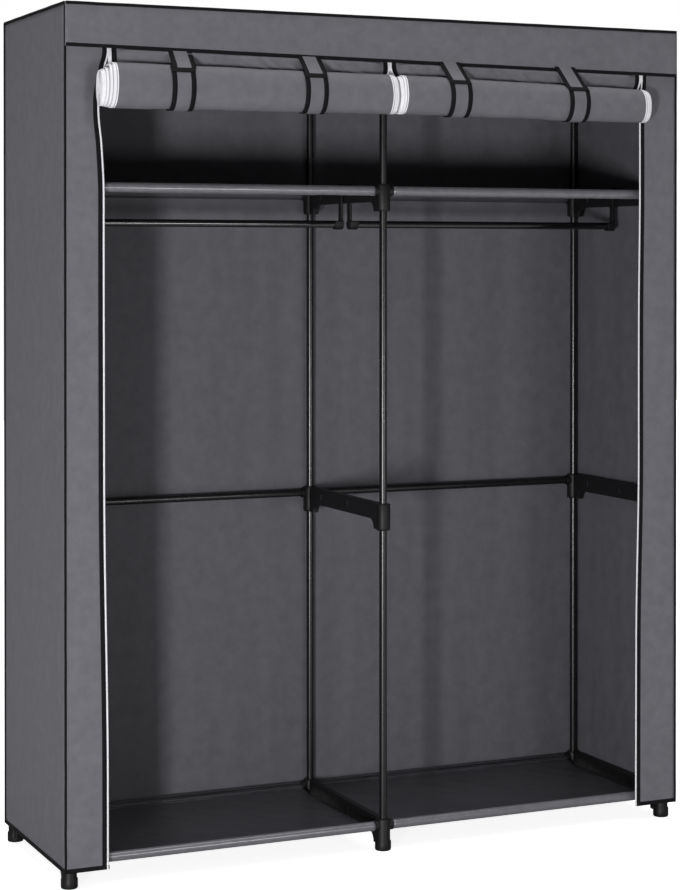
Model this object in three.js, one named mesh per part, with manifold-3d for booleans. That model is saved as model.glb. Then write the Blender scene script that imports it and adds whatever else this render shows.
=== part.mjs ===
// A free-standing cloth wardrobe. Steel tubes plug into moulded connectors to make
// a frame of three columns, and a sewn cover hangs over it. The two front curtains
// are rolled up under the valance and held by straps.
// Millimetres, +Z up, +X to the right of someone facing the open front, -Y to the front.
// The origin is on the floor, under the middle of the whole outline.

import * as THREE from 'three';
import { mergeVertices } from 'three/addons/utils/BufferGeometryUtils.js';
import Module from 'manifold-3d';

const wasm = await Module();
wasm.setup();

// Cover
const coverWidth = 1400;
const coverDepth = 430;
const coverHeight = 1740;
const clothThickness = 2;
const hemHeight = 36;
const stileWidth = 91;
const valanceHeight = 82;

// Gaps between pieces: sewn edges, loose fits, and tubes in their sockets
const seamGap = 0.3;
const looseGap = 0.4;
const boreGap = 0.3;

// Steel tubes
const tubeRadius = 8;
const tubeWall = 0.6;
const tubeSides = 12;

// Moulded connectors: a fore-and-aft beam with an upright socket at each end
const socketWall = 6.7;
const socketAboveRail = 14;
const socketBelowRail = 42;
const collarWall = 2.7;
const collarLength = 6;
const boreEndWall = 1.4;
const beamThickness = 14;
const beamBelowRail = 22;
const gussetReach = 18;
const slotWidth = 3;
const slotHeight = 12;
const slotPlaceShares = [0.43, 0.8];
const footFlange = 2;
const footHeight = 22;
const footEdge = 3;
const footFloor = 10;
const gussetSteps = 8;

// Levels of the rails, and the line of the front uprights behind the cover's front
const baseRailHeight = 52;
const midRailHeight = 712;
const shelfBelowTopRail = 344;
const frontPoleInset = 28;

// Shelf cloths, each with a sleeve for the rail at its front and rear edge
const sleeveThickness = 1.7;
const shelfSag = 18;

// Hanging rods and their hangers
const rodBelowRail = 67;
const hangerWidth = 14;
const hangerThickness = 6;
const hangerLip = 20;
const cradleReach = 14;
const cradleWall = 3;
const cradleAboveRod = 6;

// Curtain rolls
const rollHalfDepth = 28;
const rollHeightAtLeft = 92;
const rollHeightAtRight = 74;
const rollBelowHem = 79;
// The right roll stops a little short of the stile's edge
const rollEndPastStile = { left: 30, right: -5 };
const rollInnerGap = 4;
const rollGap = 1;
// Each end of a roll: how many turns have slid out, how far and how much smaller each is
const outerEnds = {
  left: { turns: 4, step: 8, shrinkShare: 0.07 },
  right: { turns: 2, step: 8, shrinkShare: 0.03 },
};
const innerEnds = {
  left: { turns: 2, step: 7, shrinkShare: 0.02 },
  right: { turns: 3, step: 7, shrinkShare: 0.02 },
};
const grooveWidth = 1.6;
const grooveDepth = 5;
const grooveTurns = 2.5;
const grooveShares = [0.2, 0.86];

// Cloth between the top seam and each roll
const headerEdgeGap = 6;
const headerBendBelowHem = 6;
const headerTouchAngle = 50;

// Straps round the rolls
const strapWidth = 49;
const strapThickness = 1.6;
const strapGap = 0.6;
const strapGrip = 0.2;
const strapTop = 38;
const strapFromMiddle = { left: 188, right: 140 };
const strapFromRollEnd = { left: 166, right: 180 };
const bandAngles = [115, 330];
const tabAngles = [125, 150];
const bandSteps = 16;
const tabSteps = 3;

// Zip sliders and their pulls
const sliderWidth = 9;
const sliderHeight = 14;
const sliderDepth = 3.4;
const sliderBelowHem = 6;
const bridgeWidth = 2;
const bridgeBar = 1.2;
const bridgeReach = 4.5;
const bridgeHeight = 10;
const pullWidth = 7;
const pullLength = 24;
const pullThickness = 1.2;
const pullWindow = 9;
const pullSideBar = 1.5;

// One overrun serves all cuts
const overrun = 1;
const roundSides = 16;
const rollSides = 24;
const slitSteps = 40;

// Places worked out from the sizes above
const boreRadius = tubeRadius + boreGap;
const socketRadius = boreRadius + socketWall;
const collarRadius = boreRadius + collarWall;
const collarReach = socketRadius + collarLength;
const footRadius = socketRadius + footFlange;
const rollBehind = looseGap + clothThickness + rollGap;
const outFront = rollBehind + 2 * rollHalfDepth + strapGap + strapThickness;
const frontY = (outFront - coverDepth) / 2;
const backY = frontY + coverDepth;
const sideX = coverWidth / 2;
const roofBottom = coverHeight - clothThickness;
const valanceHem = roofBottom - seamGap - valanceHeight;
const headerFace = frontY - looseGap - clothThickness;
const valanceRear = headerFace - 2 * looseGap - strapThickness;
const valanceFront = valanceRear - clothThickness;
const openingX = sideX - stileWidth;
const poleX = sideX - clothThickness - looseGap - socketRadius;
const frontPoleY = frontY + frontPoleInset;
const rearPoleY = backY - clothThickness - looseGap - socketRadius;
const topRailHeight = roofBottom - looseGap - socketAboveRail;
const shelfRailHeight = topRailHeight - shelfBelowTopRail;
const rollMidY = frontY - rollBehind - rollHalfDepth;
const rollMidHeight = valanceHem - rollBelowHem;
const middleY = (frontPoleY + rearPoleY) / 2;
const columns = { left: -poleX, centre: 0, right: poleX };

const object = new THREE.Group();

// Materials

function clothMaterial(color) {
  return new THREE.MeshStandardMaterial({ color, roughness: 0.9, metalness: 0 });
}

const greyCloth = () => clothMaterial(0x68676c);
const darkCloth = () => clothMaterial(0x4a494e);
const blackPlastic = () =>
  new THREE.MeshStandardMaterial({ color: 0x1d1d1c, roughness: 0.55, metalness: 0 });
const whitePlastic = () =>
  new THREE.MeshStandardMaterial({ color: 0xd6d5da, roughness: 0.4, metalness: 0 });
const coatedSteel = () =>
  new THREE.MeshStandardMaterial({ color: 0x3a3a3c, roughness: 0.35, metalness: 0.6 });

// Shape tools

function add(name, geometry, material, x = 0, y = 0, z = 0) {
  const mesh = new THREE.Mesh(geometry, material);
  mesh.name = name;
  mesh.position.set(x, y, z);
  object.add(mesh);
}

function inOrder(a, b) {
  return a < b ? [a, b] : [b, a];
}

function slab(x0, x1, y0, y1, z0, z1) {
  const box = new THREE.BoxGeometry(x1 - x0, y1 - y0, z1 - z0);
  return box.translate((x0 + x1) / 2, (y0 + y1) / 2, (z0 + z1) / 2);
}

// A full circle in an outline gets this many sides, and an arc its share
function extrude(shape, length, sides) {
  return new THREE.ExtrudeGeometry(shape, {
    depth: length,
    bevelEnabled: false,
    curveSegments: sides / 2,
  });
}

// An outline drawn in Y and Z is drawn out along X from x0 to x1
function extrudeAlongX(shape, x0, x1, sides = tubeSides) {
  const turn = new THREE.Matrix4().makeBasis(
    new THREE.Vector3(0, 1, 0),
    new THREE.Vector3(0, 0, 1),
    new THREE.Vector3(1, 0, 0),
  );
  return extrude(shape, x1 - x0, sides).applyMatrix4(turn).translate(x0, 0, 0);
}

function extrudeUp(shape, z0, z1, sides = tubeSides) {
  return extrude(shape, z1 - z0, sides).translate(0, 0, z0);
}

function disc(radius, x = 0, y = 0) {
  return new THREE.Shape().absarc(x, y, radius, 0, 2 * Math.PI, false);
}

function ring(outer, inner) {
  const shape = disc(outer);
  shape.holes.push(new THREE.Path().absarc(0, 0, inner, 0, 2 * Math.PI, true));
  return shape;
}

function solid(geometry) {
  const bare = geometry.clone();
  bare.deleteAttribute('normal');
  bare.deleteAttribute('uv');
  const merged = mergeVertices(bare);
  const vertProperties = new Float32Array(merged.attributes.position.array);
  // a revolve leaves triangles of no area where its profile meets the axis
  const triangles = [];
  for (let i = 0; i < merged.index.count; i += 3) {
    const corners = [0, 1, 2].map((k) => merged.index.getX(i + k));
    if (new Set(corners).size === 3) triangles.push(...corners);
  }
  const triVerts = new Uint32Array(triangles);
  return new wasm.Manifold(new wasm.Mesh({ numProp: 3, vertProperties, triVerts }));
}

function geometryOf(body) {
  const mesh = body.getMesh();
  const geometry = new THREE.BufferGeometry();
  geometry.setAttribute('position', new THREE.BufferAttribute(mesh.vertProperties, 3));
  geometry.setIndex(new THREE.BufferAttribute(mesh.triVerts, 1));
  geometry.computeVertexNormals();
  return geometry;
}

function polygon(points) {
  return new THREE.Shape(points.map(([y, z]) => new THREE.Vector2(y, z)));
}

function ellipseArc(midY, midZ, halfDepth, halfHeight, fromAngle, toAngle, steps) {
  const points = [];
  for (let i = 0; i <= steps; i += 1) {
    const angle = THREE.MathUtils.degToRad(fromAngle + ((toAngle - fromAngle) * i) / steps);
    points.push([midY + halfDepth * Math.cos(angle), midZ + halfHeight * Math.sin(angle)]);
  }
  return points;
}

// Frame tubes

function tubeAlongX(x0, x1) {
  return extrudeAlongX(ring(tubeRadius, tubeRadius - tubeWall), x0, x1);
}

function tubeUp(z0, z1) {
  return extrudeUp(ring(tubeRadius, tubeRadius - tubeWall), z0, z1);
}

const railEnd = boreRadius + boreEndWall + boreGap;

function addRail(name, y, z, fromColumn, toColumn) {
  const rail = tubeAlongX(columns[fromColumn] + railEnd, columns[toColumn] - railEnd);
  add(name, rail, coatedSteel(), 0, y, z);
}

// Connectors: the beam's side view, as deep as the socket next to it, then curved up

function beamSideView() {
  const gusset = socketBelowRail - beamBelowRail;
  const frontFace = frontPoleY + socketRadius + gussetReach;
  const rearFace = rearPoleY - socketRadius - gussetReach;
  const shape = new THREE.Shape();
  shape.moveTo(frontPoleY, socketAboveRail);
  shape.lineTo(frontPoleY, -socketBelowRail);
  shape.lineTo(frontFace, -socketBelowRail);
  shape.absarc(frontFace + gusset, -socketBelowRail, gusset, Math.PI, Math.PI / 2, true);
  shape.absarc(rearFace - gusset, -socketBelowRail, gusset, Math.PI / 2, 0, true);
  shape.lineTo(rearPoleY, -socketBelowRail);
  shape.lineTo(rearPoleY, socketAboveRail);
  return shape;
}

function slottedBeam() {
  const half = beamThickness / 2;
  const mid = (socketAboveRail - beamBelowRail) / 2;
  const [low, high] = [mid - slotHeight / 2, mid + slotHeight / 2];
  let beam = solid(extrudeAlongX(beamSideView(), -half, half, gussetSteps));
  for (const share of slotPlaceShares) {
    const y = frontPoleY + share * (rearPoleY - frontPoleY);
    const [x0, x1] = [-half - overrun, half + overrun];
    beam = beam.subtract(solid(slab(x0, x1, y - slotWidth / 2, y + slotWidth / 2, low, high)));
  }
  return beam;
}

function foot(y, railHeight) {
  const profile = [
    [0, 0],
    [footRadius - footEdge, 0],
    [footRadius, footEdge],
    [footRadius, footHeight - footEdge],
    [socketRadius, footHeight],
    [0, footHeight],
  ].map(([r, z]) => new THREE.Vector2(r, z));
  const lathe = new THREE.LatheGeometry(profile, roundSides).rotateX(Math.PI / 2);
  return solid(lathe.translate(0, y, -railHeight));
}

// sides lists the directions, -1 for left and 1 for right, that take a rail
function connector({ railHeight, frontSides, rearSides, standing, capped, through }) {
  let body = slottedBeam();
  const low = -socketBelowRail;
  for (const y of [frontPoleY, rearPoleY]) {
    body = body.add(solid(extrudeUp(disc(socketRadius, 0, y), low, socketAboveRail, roundSides)));
    if (standing) body = body.add(foot(y, railHeight));
  }
  const ends = [[frontPoleY, frontSides], [rearPoleY, rearSides]];
  for (const [y, sides] of ends) {
    for (const side of sides) {
      const [x0, x1] = side < 0 ? [-collarReach, 0] : [0, collarReach];
      body = body.add(solid(extrudeAlongX(disc(collarRadius, y), x0, x1)));
    }
  }
  const boreLow = standing ? footFloor - railHeight : low - overrun;
  const boreTop = capped ? -boreRadius : socketAboveRail + overrun;
  const boreOuter = collarReach + overrun;
  for (const [y, sides] of ends) {
    const boreHigh = through ? 0 : boreTop;
    body = body.subtract(solid(extrudeUp(disc(boreRadius, 0, y), boreLow, boreHigh)));
    const bores = sides.map((side) => inOrder(side * (boreRadius + boreEndWall), side * boreOuter));
    for (const bore of through ? [[-boreOuter, boreOuter]] : bores) {
      body = body.subtract(solid(extrudeAlongX(disc(boreRadius, y), ...bore)));
    }
  }
  return geometryOf(body);
}

const inward = { left: [1], centre: [-1, 1], right: [-1] };

for (const [column, x] of Object.entries(columns)) {
  const sides = inward[column];
  const levels = {
    base: { railHeight: baseRailHeight, frontSides: sides, rearSides: sides, standing: true },
    mid: { railHeight: midRailHeight, frontSides: [], rearSides: sides },
    shelf: { railHeight: shelfRailHeight, frontSides: sides, rearSides: sides },
    top: {
      railHeight: topRailHeight,
      frontSides: sides,
      rearSides: sides,
      capped: true,
      through: column === 'centre',
    },
  };
  for (const [level, plan] of Object.entries(levels)) {
    add(`${level}_beam_${column}`, connector(plan), blackPlastic(), x, 0, plan.railHeight);
  }
  const uprightTop = topRailHeight - tubeRadius - boreGap - boreGap;
  const upright = tubeUp(footFloor + boreGap, uprightTop);
  add(`upright_front_${column}`, upright, coatedSteel(), x, frontPoleY);
  add(`upright_rear_${column}`, upright.clone(), coatedSteel(), x, rearPoleY);
}

const bays = { left: ['left', 'centre'], right: ['centre', 'right'] };

for (const [bay, [from, to]] of Object.entries(bays)) {
  addRail(`base_rail_front_${bay}`, frontPoleY, baseRailHeight, from, to);
  addRail(`base_rail_rear_${bay}`, rearPoleY, baseRailHeight, from, to);
  addRail(`mid_rail_rear_${bay}`, rearPoleY, midRailHeight, from, to);
  addRail(`shelf_rail_front_${bay}`, frontPoleY, shelfRailHeight, from, to);
  addRail(`shelf_rail_rear_${bay}`, rearPoleY, shelfRailHeight, from, to);
}
addRail('top_rail_front', frontPoleY, topRailHeight, 'left', 'right');
addRail('top_rail_rear', rearPoleY, topRailHeight, 'left', 'right');

// Shelf cloths: a slack sheet between two sleeves

function shelfSideView() {
  const outer = boreRadius + sleeveThickness;
  const top = outer;
  const under = outer - clothThickness;
  const meetAngle = THREE.MathUtils.radToDeg(Math.asin(under / outer));
  const sagSteps = 12;
  const from = frontPoleY;
  const span = rearPoleY - frontPoleY;
  const above = [];
  const below = [];
  for (let i = 1; i < sagSteps; i += 1) {
    const share = i / sagSteps;
    const sag = shelfSag * (1 - (2 * share - 1) ** 4);
    above.push([from + share * span, top - sag]);
    below.push([from + share * span, under - sag]);
  }
  const front = ellipseArc(frontPoleY, 0, outer, outer, 90, 360 + meetAngle, tubeSides - 2);
  const rear = ellipseArc(rearPoleY, 0, outer, outer, 180 - meetAngle, 450, tubeSides - 2);
  return polygon([...front, ...below, ...rear, ...above.reverse()]);
}

function shelfCloth(x0, x1) {
  let cloth = solid(extrudeAlongX(shelfSideView(), x0, x1));
  for (const y of [frontPoleY, rearPoleY]) {
    const bore = extrudeAlongX(disc(boreRadius, y), x0 - overrun, x1 + overrun);
    cloth = cloth.subtract(solid(bore));
  }
  return geometryOf(cloth);
}

const sleeveEnd = collarReach + looseGap;

for (const [bay, [from, to]] of Object.entries(bays)) {
  const cloth = shelfCloth(columns[from] + sleeveEnd, columns[to] - sleeveEnd);
  add(`base_shelf_${bay}`, cloth, darkCloth(), 0, 0, baseRailHeight);
  add(`upper_shelf_${bay}`, cloth.clone(), darkCloth(), 0, 0, shelfRailHeight);
}

// Rod hangers: a clip over the shelf beam with an arm down to an open cradle

const armFace = beamThickness / 2 + looseGap;
const armBack = armFace + hangerThickness;
const rodEnd = armBack + looseGap;

function cradleSideView() {
  const inner = tubeRadius + looseGap;
  const outer = inner + cradleWall;
  const shape = new THREE.Shape();
  shape.moveTo(middleY - outer, cradleAboveRod - rodBelowRail);
  shape.lineTo(middleY - outer, -rodBelowRail);
  shape.absarc(middleY, -rodBelowRail, outer, Math.PI, 2 * Math.PI, false);
  shape.lineTo(middleY + outer, cradleAboveRod - rodBelowRail);
  shape.lineTo(middleY + inner, cradleAboveRod - rodBelowRail);
  shape.lineTo(middleY + inner, -rodBelowRail);
  shape.absarc(middleY, -rodBelowRail, inner, 2 * Math.PI, Math.PI, true);
  shape.lineTo(middleY - inner, cradleAboveRod - rodBelowRail);
  return shape;
}

// The arm widens at its foot into the disc that closes the cradle's end
function armSideView() {
  const outer = tubeRadius + looseGap + cradleWall;
  const half = hangerWidth / 2;
  const meet = Math.asin(half / outer);
  const top = socketAboveRail + looseGap + hangerThickness;
  const shape = new THREE.Shape();
  shape.moveTo(middleY + half, top);
  shape.lineTo(middleY - half, top);
  shape.absarc(middleY, -rodBelowRail, outer, Math.PI / 2 + meet, 2.5 * Math.PI - meet, false);
  return shape;
}

function hanger(sides) {
  const half = hangerWidth / 2;
  const underside = socketAboveRail + looseGap;
  const top = underside + hangerThickness;
  const [y0, y1] = [middleY - half, middleY + half];
  let body = solid(slab(-armBack, armBack, y0, y1, underside, top));
  for (const side of [-1, 1]) {
    const lip = inOrder(side * armFace, side * armBack);
    body = body.add(solid(slab(...lip, y0, y1, underside - hangerLip, top)));
  }
  for (const side of sides) {
    const arm = inOrder(side * armFace, side * armBack);
    const tray = inOrder(side * armFace, side * (armBack + cradleReach));
    body = body.add(solid(extrudeAlongX(armSideView(), ...arm)));
    body = body.add(solid(extrudeAlongX(cradleSideView(), ...tray)));
  }
  return geometryOf(body);
}

for (const [column, x] of Object.entries(columns)) {
  add(`rod_hanger_${column}`, hanger(inward[column]), blackPlastic(), x, 0, shelfRailHeight);
}

for (const [bay, [from, to]] of Object.entries(bays)) {
  const rod = tubeAlongX(columns[from] + rodEnd, columns[to] - rodEnd);
  add(`hanging_rod_${bay}`, rod, coatedSteel(), 0, middleY, shelfRailHeight - rodBelowRail);
}

// Cover panels, sewn edge to edge

const panelTop = roofBottom - seamGap;
const stileRear = frontY + clothThickness;
const backFace = backY - clothThickness;

add('roof_panel', slab(-sideX, sideX, valanceFront, backY, roofBottom, coverHeight), greyCloth());
add('back_panel', slab(-sideX, sideX, backFace, backY, hemHeight, panelTop), greyCloth());
add(
  'front_valance',
  slab(-sideX, sideX, valanceFront, valanceRear, valanceHem, panelTop),
  greyCloth(),
);
for (const [name, side] of [['left', -1], ['right', 1]]) {
  const wall = inOrder(side * (sideX - clothThickness), side * sideX);
  const stile = inOrder(side * openingX, side * sideX);
  add(
    `side_panel_${name}`,
    slab(...wall, stileRear + seamGap, backFace - seamGap, hemHeight, panelTop),
    greyCloth(),
  );
  add(`front_stile_${name}`, slab(...stile, frontY, stileRear, hemHeight, panelTop), greyCloth());
}

// Curtain rolls: oval rolls whose ends have slid out turn by turn

const rollOuterEnd = {
  left: openingX + rollEndPastStile.left,
  right: openingX + rollEndPastStile.right,
};

function rollHalfHeight(x) {
  const share = (x + rollOuterEnd.left) / (rollOuterEnd.left + rollOuterEnd.right);
  return (rollHeightAtLeft + (rollHeightAtRight - rollHeightAtLeft) * share) / 2;
}

// The smaller turns rest on the bottom of the roll
function sectionPoints({ x, scale }) {
  const full = rollHalfHeight(x);
  const height = full * scale;
  const midZ = rollMidHeight - full + height;
  const points = ellipseArc(rollMidY, midZ, rollHalfDepth * scale, height, 0, 360, rollSides);
  return points.slice(0, rollSides).map(([y, z]) => [x, y, z]);
}

function loft(sections) {
  const rings = sections.map(sectionPoints);
  const positions = rings.flat(2);
  const index = [];
  for (let i = 0; i + 1 < rings.length; i += 1) {
    for (let j = 0; j < rollSides; j += 1) {
      const next = (j + 1) % rollSides;
      const [a, b] = [i * rollSides + j, i * rollSides + next];
      const [c, d] = [a + rollSides, b + rollSides];
      index.push(a, b, c, b, d, c);
    }
  }
  const last = (rings.length - 1) * rollSides;
  for (let j = 1; j + 1 < rollSides; j += 1) {
    index.push(0, j + 1, j, last, last + j, last + j + 1);
  }
  const geometry = new THREE.BufferGeometry();
  geometry.setAttribute('position', new THREE.Float32BufferAttribute(positions, 3));
  geometry.setIndex(index);
  return geometry;
}

// The turns at one end, from the full section out to the innermost turn
function slidOutTurns(endX, direction, { turns, step, shrinkShare }) {
  const fullX = endX - direction * turns * step;
  const sections = [];
  for (let turn = 0; turn < turns; turn += 1) {
    const scale = 1 - turn * shrinkShare;
    sections.push({ x: fullX + direction * turn * step, scale });
    sections.push({ x: fullX + direction * (turn + 1) * step, scale });
  }
  return sections;
}

// The spiral slit between the turns, as seen on the end face
function spiralSlit(x, { turns, shrinkShare }) {
  const [first, last] = grooveShares;
  const scale = 1 - (turns - 1) * shrinkShare;
  const midZ = rollMidHeight - rollHalfHeight(x) * (1 - scale);
  const side = (offset) =>
    Array.from({ length: slitSteps + 1 }, (_, i) => {
      const share = first + ((last - first) * i) / slitSteps;
      const angle = (2 * Math.PI * grooveTurns * i) / slitSteps;
      const depth = rollHalfDepth * scale * share + offset;
      const height = rollHalfHeight(x) * scale * share + offset;
      return [rollMidY + depth * Math.cos(angle), midZ + height * Math.sin(angle)];
    });
  return polygon([...side(grooveWidth / 2), ...side(-grooveWidth / 2).reverse()]);
}

function curtainRoll(name, side) {
  const end = side * rollOuterEnd[name];
  const outer = slidOutTurns(end, side, outerEnds[name]);
  const inner = slidOutTurns((side * rollInnerGap) / 2, -side, innerEnds[name]);
  const sections = [...outer.reverse(), ...inner];
  const body = solid(loft(side < 0 ? sections : sections.reverse()));
  const slit = inOrder(end - side * grooveDepth, end + side * overrun);
  const cut = solid(extrudeAlongX(spiralSlit(end, outerEnds[name]), ...slit));
  return geometryOf(body.subtract(cut));
}

// Cloth from the top seam, behind the valance, to the back of each roll

function headerSideView() {
  const bend = valanceHem - headerBendBelowHem;
  const angle = THREE.MathUtils.degToRad(headerTouchAngle);
  const endY = rollMidY + rollHalfDepth * Math.cos(angle);
  const endZ = rollMidHeight + (rollHeightAtLeft / 2) * Math.sin(angle) + strapGap;
  const rear = frontY - looseGap;
  return polygon([
    [rear, panelTop],
    [headerFace, panelTop],
    [headerFace, bend],
    [endY, endZ],
    [endY + clothThickness, endZ],
    [rear, bend],
  ]);
}

const headerOuter = openingX - headerEdgeGap;
const headerInner = sliderWidth / 2 + looseGap;

for (const [name, side] of [['left', -1], ['right', 1]]) {
  add(`curtain_roll_${name}`, curtainRoll(name, side), greyCloth());
  const span = inOrder(side * headerInner, side * headerOuter);
  add(`curtain_header_${name}`, extrudeAlongX(headerSideView(), ...span), greyCloth());
}

// Straps: a band round the roll, closed by a short tab from under the valance

// Part of the roll's own oval, this far outside it
function rollArc(halfHeight, offset, angles, steps) {
  const depth = rollHalfDepth + offset;
  return ellipseArc(rollMidY, rollMidHeight, depth, halfHeight + offset, ...angles, steps);
}

function bandSideView(halfHeight) {
  const inner = strapGap;
  const outer = strapGap + strapThickness;
  const arc = (offset) => rollArc(halfHeight, offset, bandAngles, bandSteps);
  const runFront = frontY;
  const runRear = runFront + strapThickness;
  const runLow = rollMidHeight - rollHalfDepth / 2;
  const runTop = roofBottom - strapTop;
  return polygon([
    ...arc(outer),
    [runRear, runLow],
    [runRear, runTop],
    [runFront, runTop],
    [runFront, runLow + strapThickness / 2],
    ...arc(inner).reverse(),
  ]);
}

function tabSideView(halfHeight) {
  const inner = strapGap + strapThickness - strapGrip;
  const outer = inner + strapThickness;
  const arc = (offset) => rollArc(halfHeight, offset, tabAngles, tabSteps);
  const rear = headerFace - looseGap;
  const front = rear - strapThickness;
  const top = roofBottom - strapTop;
  const bend = valanceHem - headerBendBelowHem / 2;
  return polygon([
    [rear, top],
    [front, top],
    [front, bend],
    ...arc(outer),
    ...arc(inner).reverse(),
    [rear, bend - strapThickness / 2],
  ]);
}

for (const [name, side] of [['left', -1], ['right', 1]]) {
  const nearMiddle = side * strapFromMiddle[name];
  const nearEnd = side * (rollOuterEnd[name] - strapFromRollEnd[name]);
  inOrder(nearMiddle, nearEnd).forEach((x, i) => {
    const span = [x - strapWidth / 2, x + strapWidth / 2];
    const halfHeight = rollHalfHeight(x);
    const band = solid(extrudeAlongX(bandSideView(halfHeight), ...span));
    const tab = solid(extrudeAlongX(tabSideView(halfHeight), ...span));
    add(`strap_${name}_${i + 1}`, geometryOf(band.add(tab)), greyCloth());
  });
}

// Zip sliders, parked under the valance, and the pulls that hang from them

const sliderRear = frontY - looseGap;
const sliderFace = sliderRear - sliderDepth;
const sliderTop = valanceHem - sliderBelowHem;
const sliderMid = sliderTop - sliderHeight / 2;
const pivotY = sliderFace - (bridgeReach - bridgeBar) / 2;
const pivotZ = sliderMid + bridgeHeight / 2 - bridgeBar - pullThickness / 2 - looseGap;

function slider() {
  const half = sliderWidth / 2;
  const foot = half - bridgeBar;
  const front = new THREE.Shape();
  front.moveTo(-foot, -sliderHeight / 2);
  front.lineTo(foot, -sliderHeight / 2);
  front.lineTo(half, sliderHeight / 2);
  front.lineTo(-half, sliderHeight / 2);
  const plate = extrudeUp(front, 0, sliderDepth).rotateX(Math.PI / 2);
  const side = new THREE.Shape();
  const tall = bridgeHeight / 2;
  side.moveTo(overrun, tall);
  side.lineTo(-bridgeReach + bridgeBar, tall);
  side.lineTo(-bridgeReach, tall - bridgeBar);
  side.lineTo(-bridgeReach, bridgeBar - tall);
  side.lineTo(-bridgeReach + bridgeBar, -tall);
  side.lineTo(overrun, -tall);
  const [x0, x1] = [-bridgeWidth / 2, bridgeWidth / 2];
  const clear = tall - bridgeBar;
  const eye = slab(x0 - overrun, x1 + overrun, bridgeBar - bridgeReach, 0, -clear, clear);
  const bridge = solid(extrudeAlongX(side, x0, x1).translate(0, sliderFace, 0));
  const body = solid(plate.translate(0, sliderRear, 0)).add(bridge);
  return geometryOf(body.subtract(solid(eye.translate(0, sliderFace, 0))));
}

// The pull hangs in the plane of its pivot, which is the bar at the top of its window
function pull() {
  const half = pullWidth / 2;
  const outline = new THREE.Shape();
  outline.moveTo(half, pullThickness / 2);
  outline.lineTo(-half, pullThickness / 2);
  outline.lineTo(-half, half - pullLength);
  outline.absarc(0, half - pullLength, half, Math.PI, 2 * Math.PI, false);
  const window = new THREE.Path();
  window.moveTo(half - pullSideBar, -pullThickness / 2);
  window.lineTo(half - pullSideBar, -pullWindow);
  window.lineTo(pullSideBar - half, -pullWindow);
  window.lineTo(pullSideBar - half, -pullThickness / 2);
  outline.holes.push(window);
  const plate = extrudeUp(outline, -pullThickness / 2, pullThickness / 2);
  return plate.rotateX(Math.PI / 2);
}

const zips = { left: -openingX, centre: 0, right: openingX };

for (const [name, x] of Object.entries(zips)) {
  add(`zip_slider_${name}`, slider(), whitePlastic(), x, 0, sliderMid);
  add(`zip_pull_${name}`, pull(), whitePlastic(), x, pivotY, pivotZ);
}

export default object;
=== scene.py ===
# A free-standing cloth wardrobe: black steel tubes and moulded connectors under a grey
# non-woven cover with black binding, its two zip curtains rolled up and strapped under
# the front valance. Metres, +Z up, the open front towards -Y.

import math

import bpy
from mathutils import Euler, Matrix, Vector, noise


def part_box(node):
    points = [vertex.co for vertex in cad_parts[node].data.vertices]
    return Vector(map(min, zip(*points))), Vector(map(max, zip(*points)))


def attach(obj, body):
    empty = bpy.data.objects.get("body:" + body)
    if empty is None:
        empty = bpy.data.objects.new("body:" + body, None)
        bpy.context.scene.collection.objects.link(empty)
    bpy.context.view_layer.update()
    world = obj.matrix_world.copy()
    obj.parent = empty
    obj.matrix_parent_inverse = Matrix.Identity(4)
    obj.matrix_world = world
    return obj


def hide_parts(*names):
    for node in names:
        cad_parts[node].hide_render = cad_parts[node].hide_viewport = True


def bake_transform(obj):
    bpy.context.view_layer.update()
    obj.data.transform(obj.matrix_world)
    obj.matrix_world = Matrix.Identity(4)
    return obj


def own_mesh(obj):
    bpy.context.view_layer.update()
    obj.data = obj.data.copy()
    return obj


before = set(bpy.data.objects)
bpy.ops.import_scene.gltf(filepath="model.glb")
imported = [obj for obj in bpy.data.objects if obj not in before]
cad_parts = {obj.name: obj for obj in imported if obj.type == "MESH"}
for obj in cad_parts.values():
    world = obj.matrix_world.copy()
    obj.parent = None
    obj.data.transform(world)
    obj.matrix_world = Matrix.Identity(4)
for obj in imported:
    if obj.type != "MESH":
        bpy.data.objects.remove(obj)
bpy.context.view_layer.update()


# The view. It stands to the left of the wardrobe and a little above its middle, with a
# long lens held nearly level and shifted down, so that the uprights stay upright.

PICTURE_HEIGHT = 890
SENSOR_MM = 36
FOCAL_PIXELS = 2196.4
MIDDLE_ROW = 276
CAMERA_AT = (-1.9635, -4.3076, 1.239)
CAMERA_BEARING = math.radians(24.189)
CAMERA_DIP = math.radians(0.463)

camera = bpy.data.objects.new("camera", bpy.data.cameras.new("camera"))
bpy.context.scene.collection.objects.link(camera)
camera.location = CAMERA_AT
camera.rotation_euler = Euler((math.pi / 2 - CAMERA_DIP, 0, -CAMERA_BEARING))
camera.data.lens = FOCAL_PIXELS * SENSOR_MM / PICTURE_HEIGHT
camera.data.shift_y = (MIDDLE_ROW - PICTURE_HEIGHT / 2) / PICTURE_HEIGHT
bpy.context.scene.camera = camera
bpy.context.scene.view_settings.view_transform = "Standard"


# The studio. A tall soft box to the front left gives the edge of shade on the back wall,
# a wide weak one fills from the front, a soft light overhead whitens the floor, and the
# floor is a smooth pale sheet.

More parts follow.
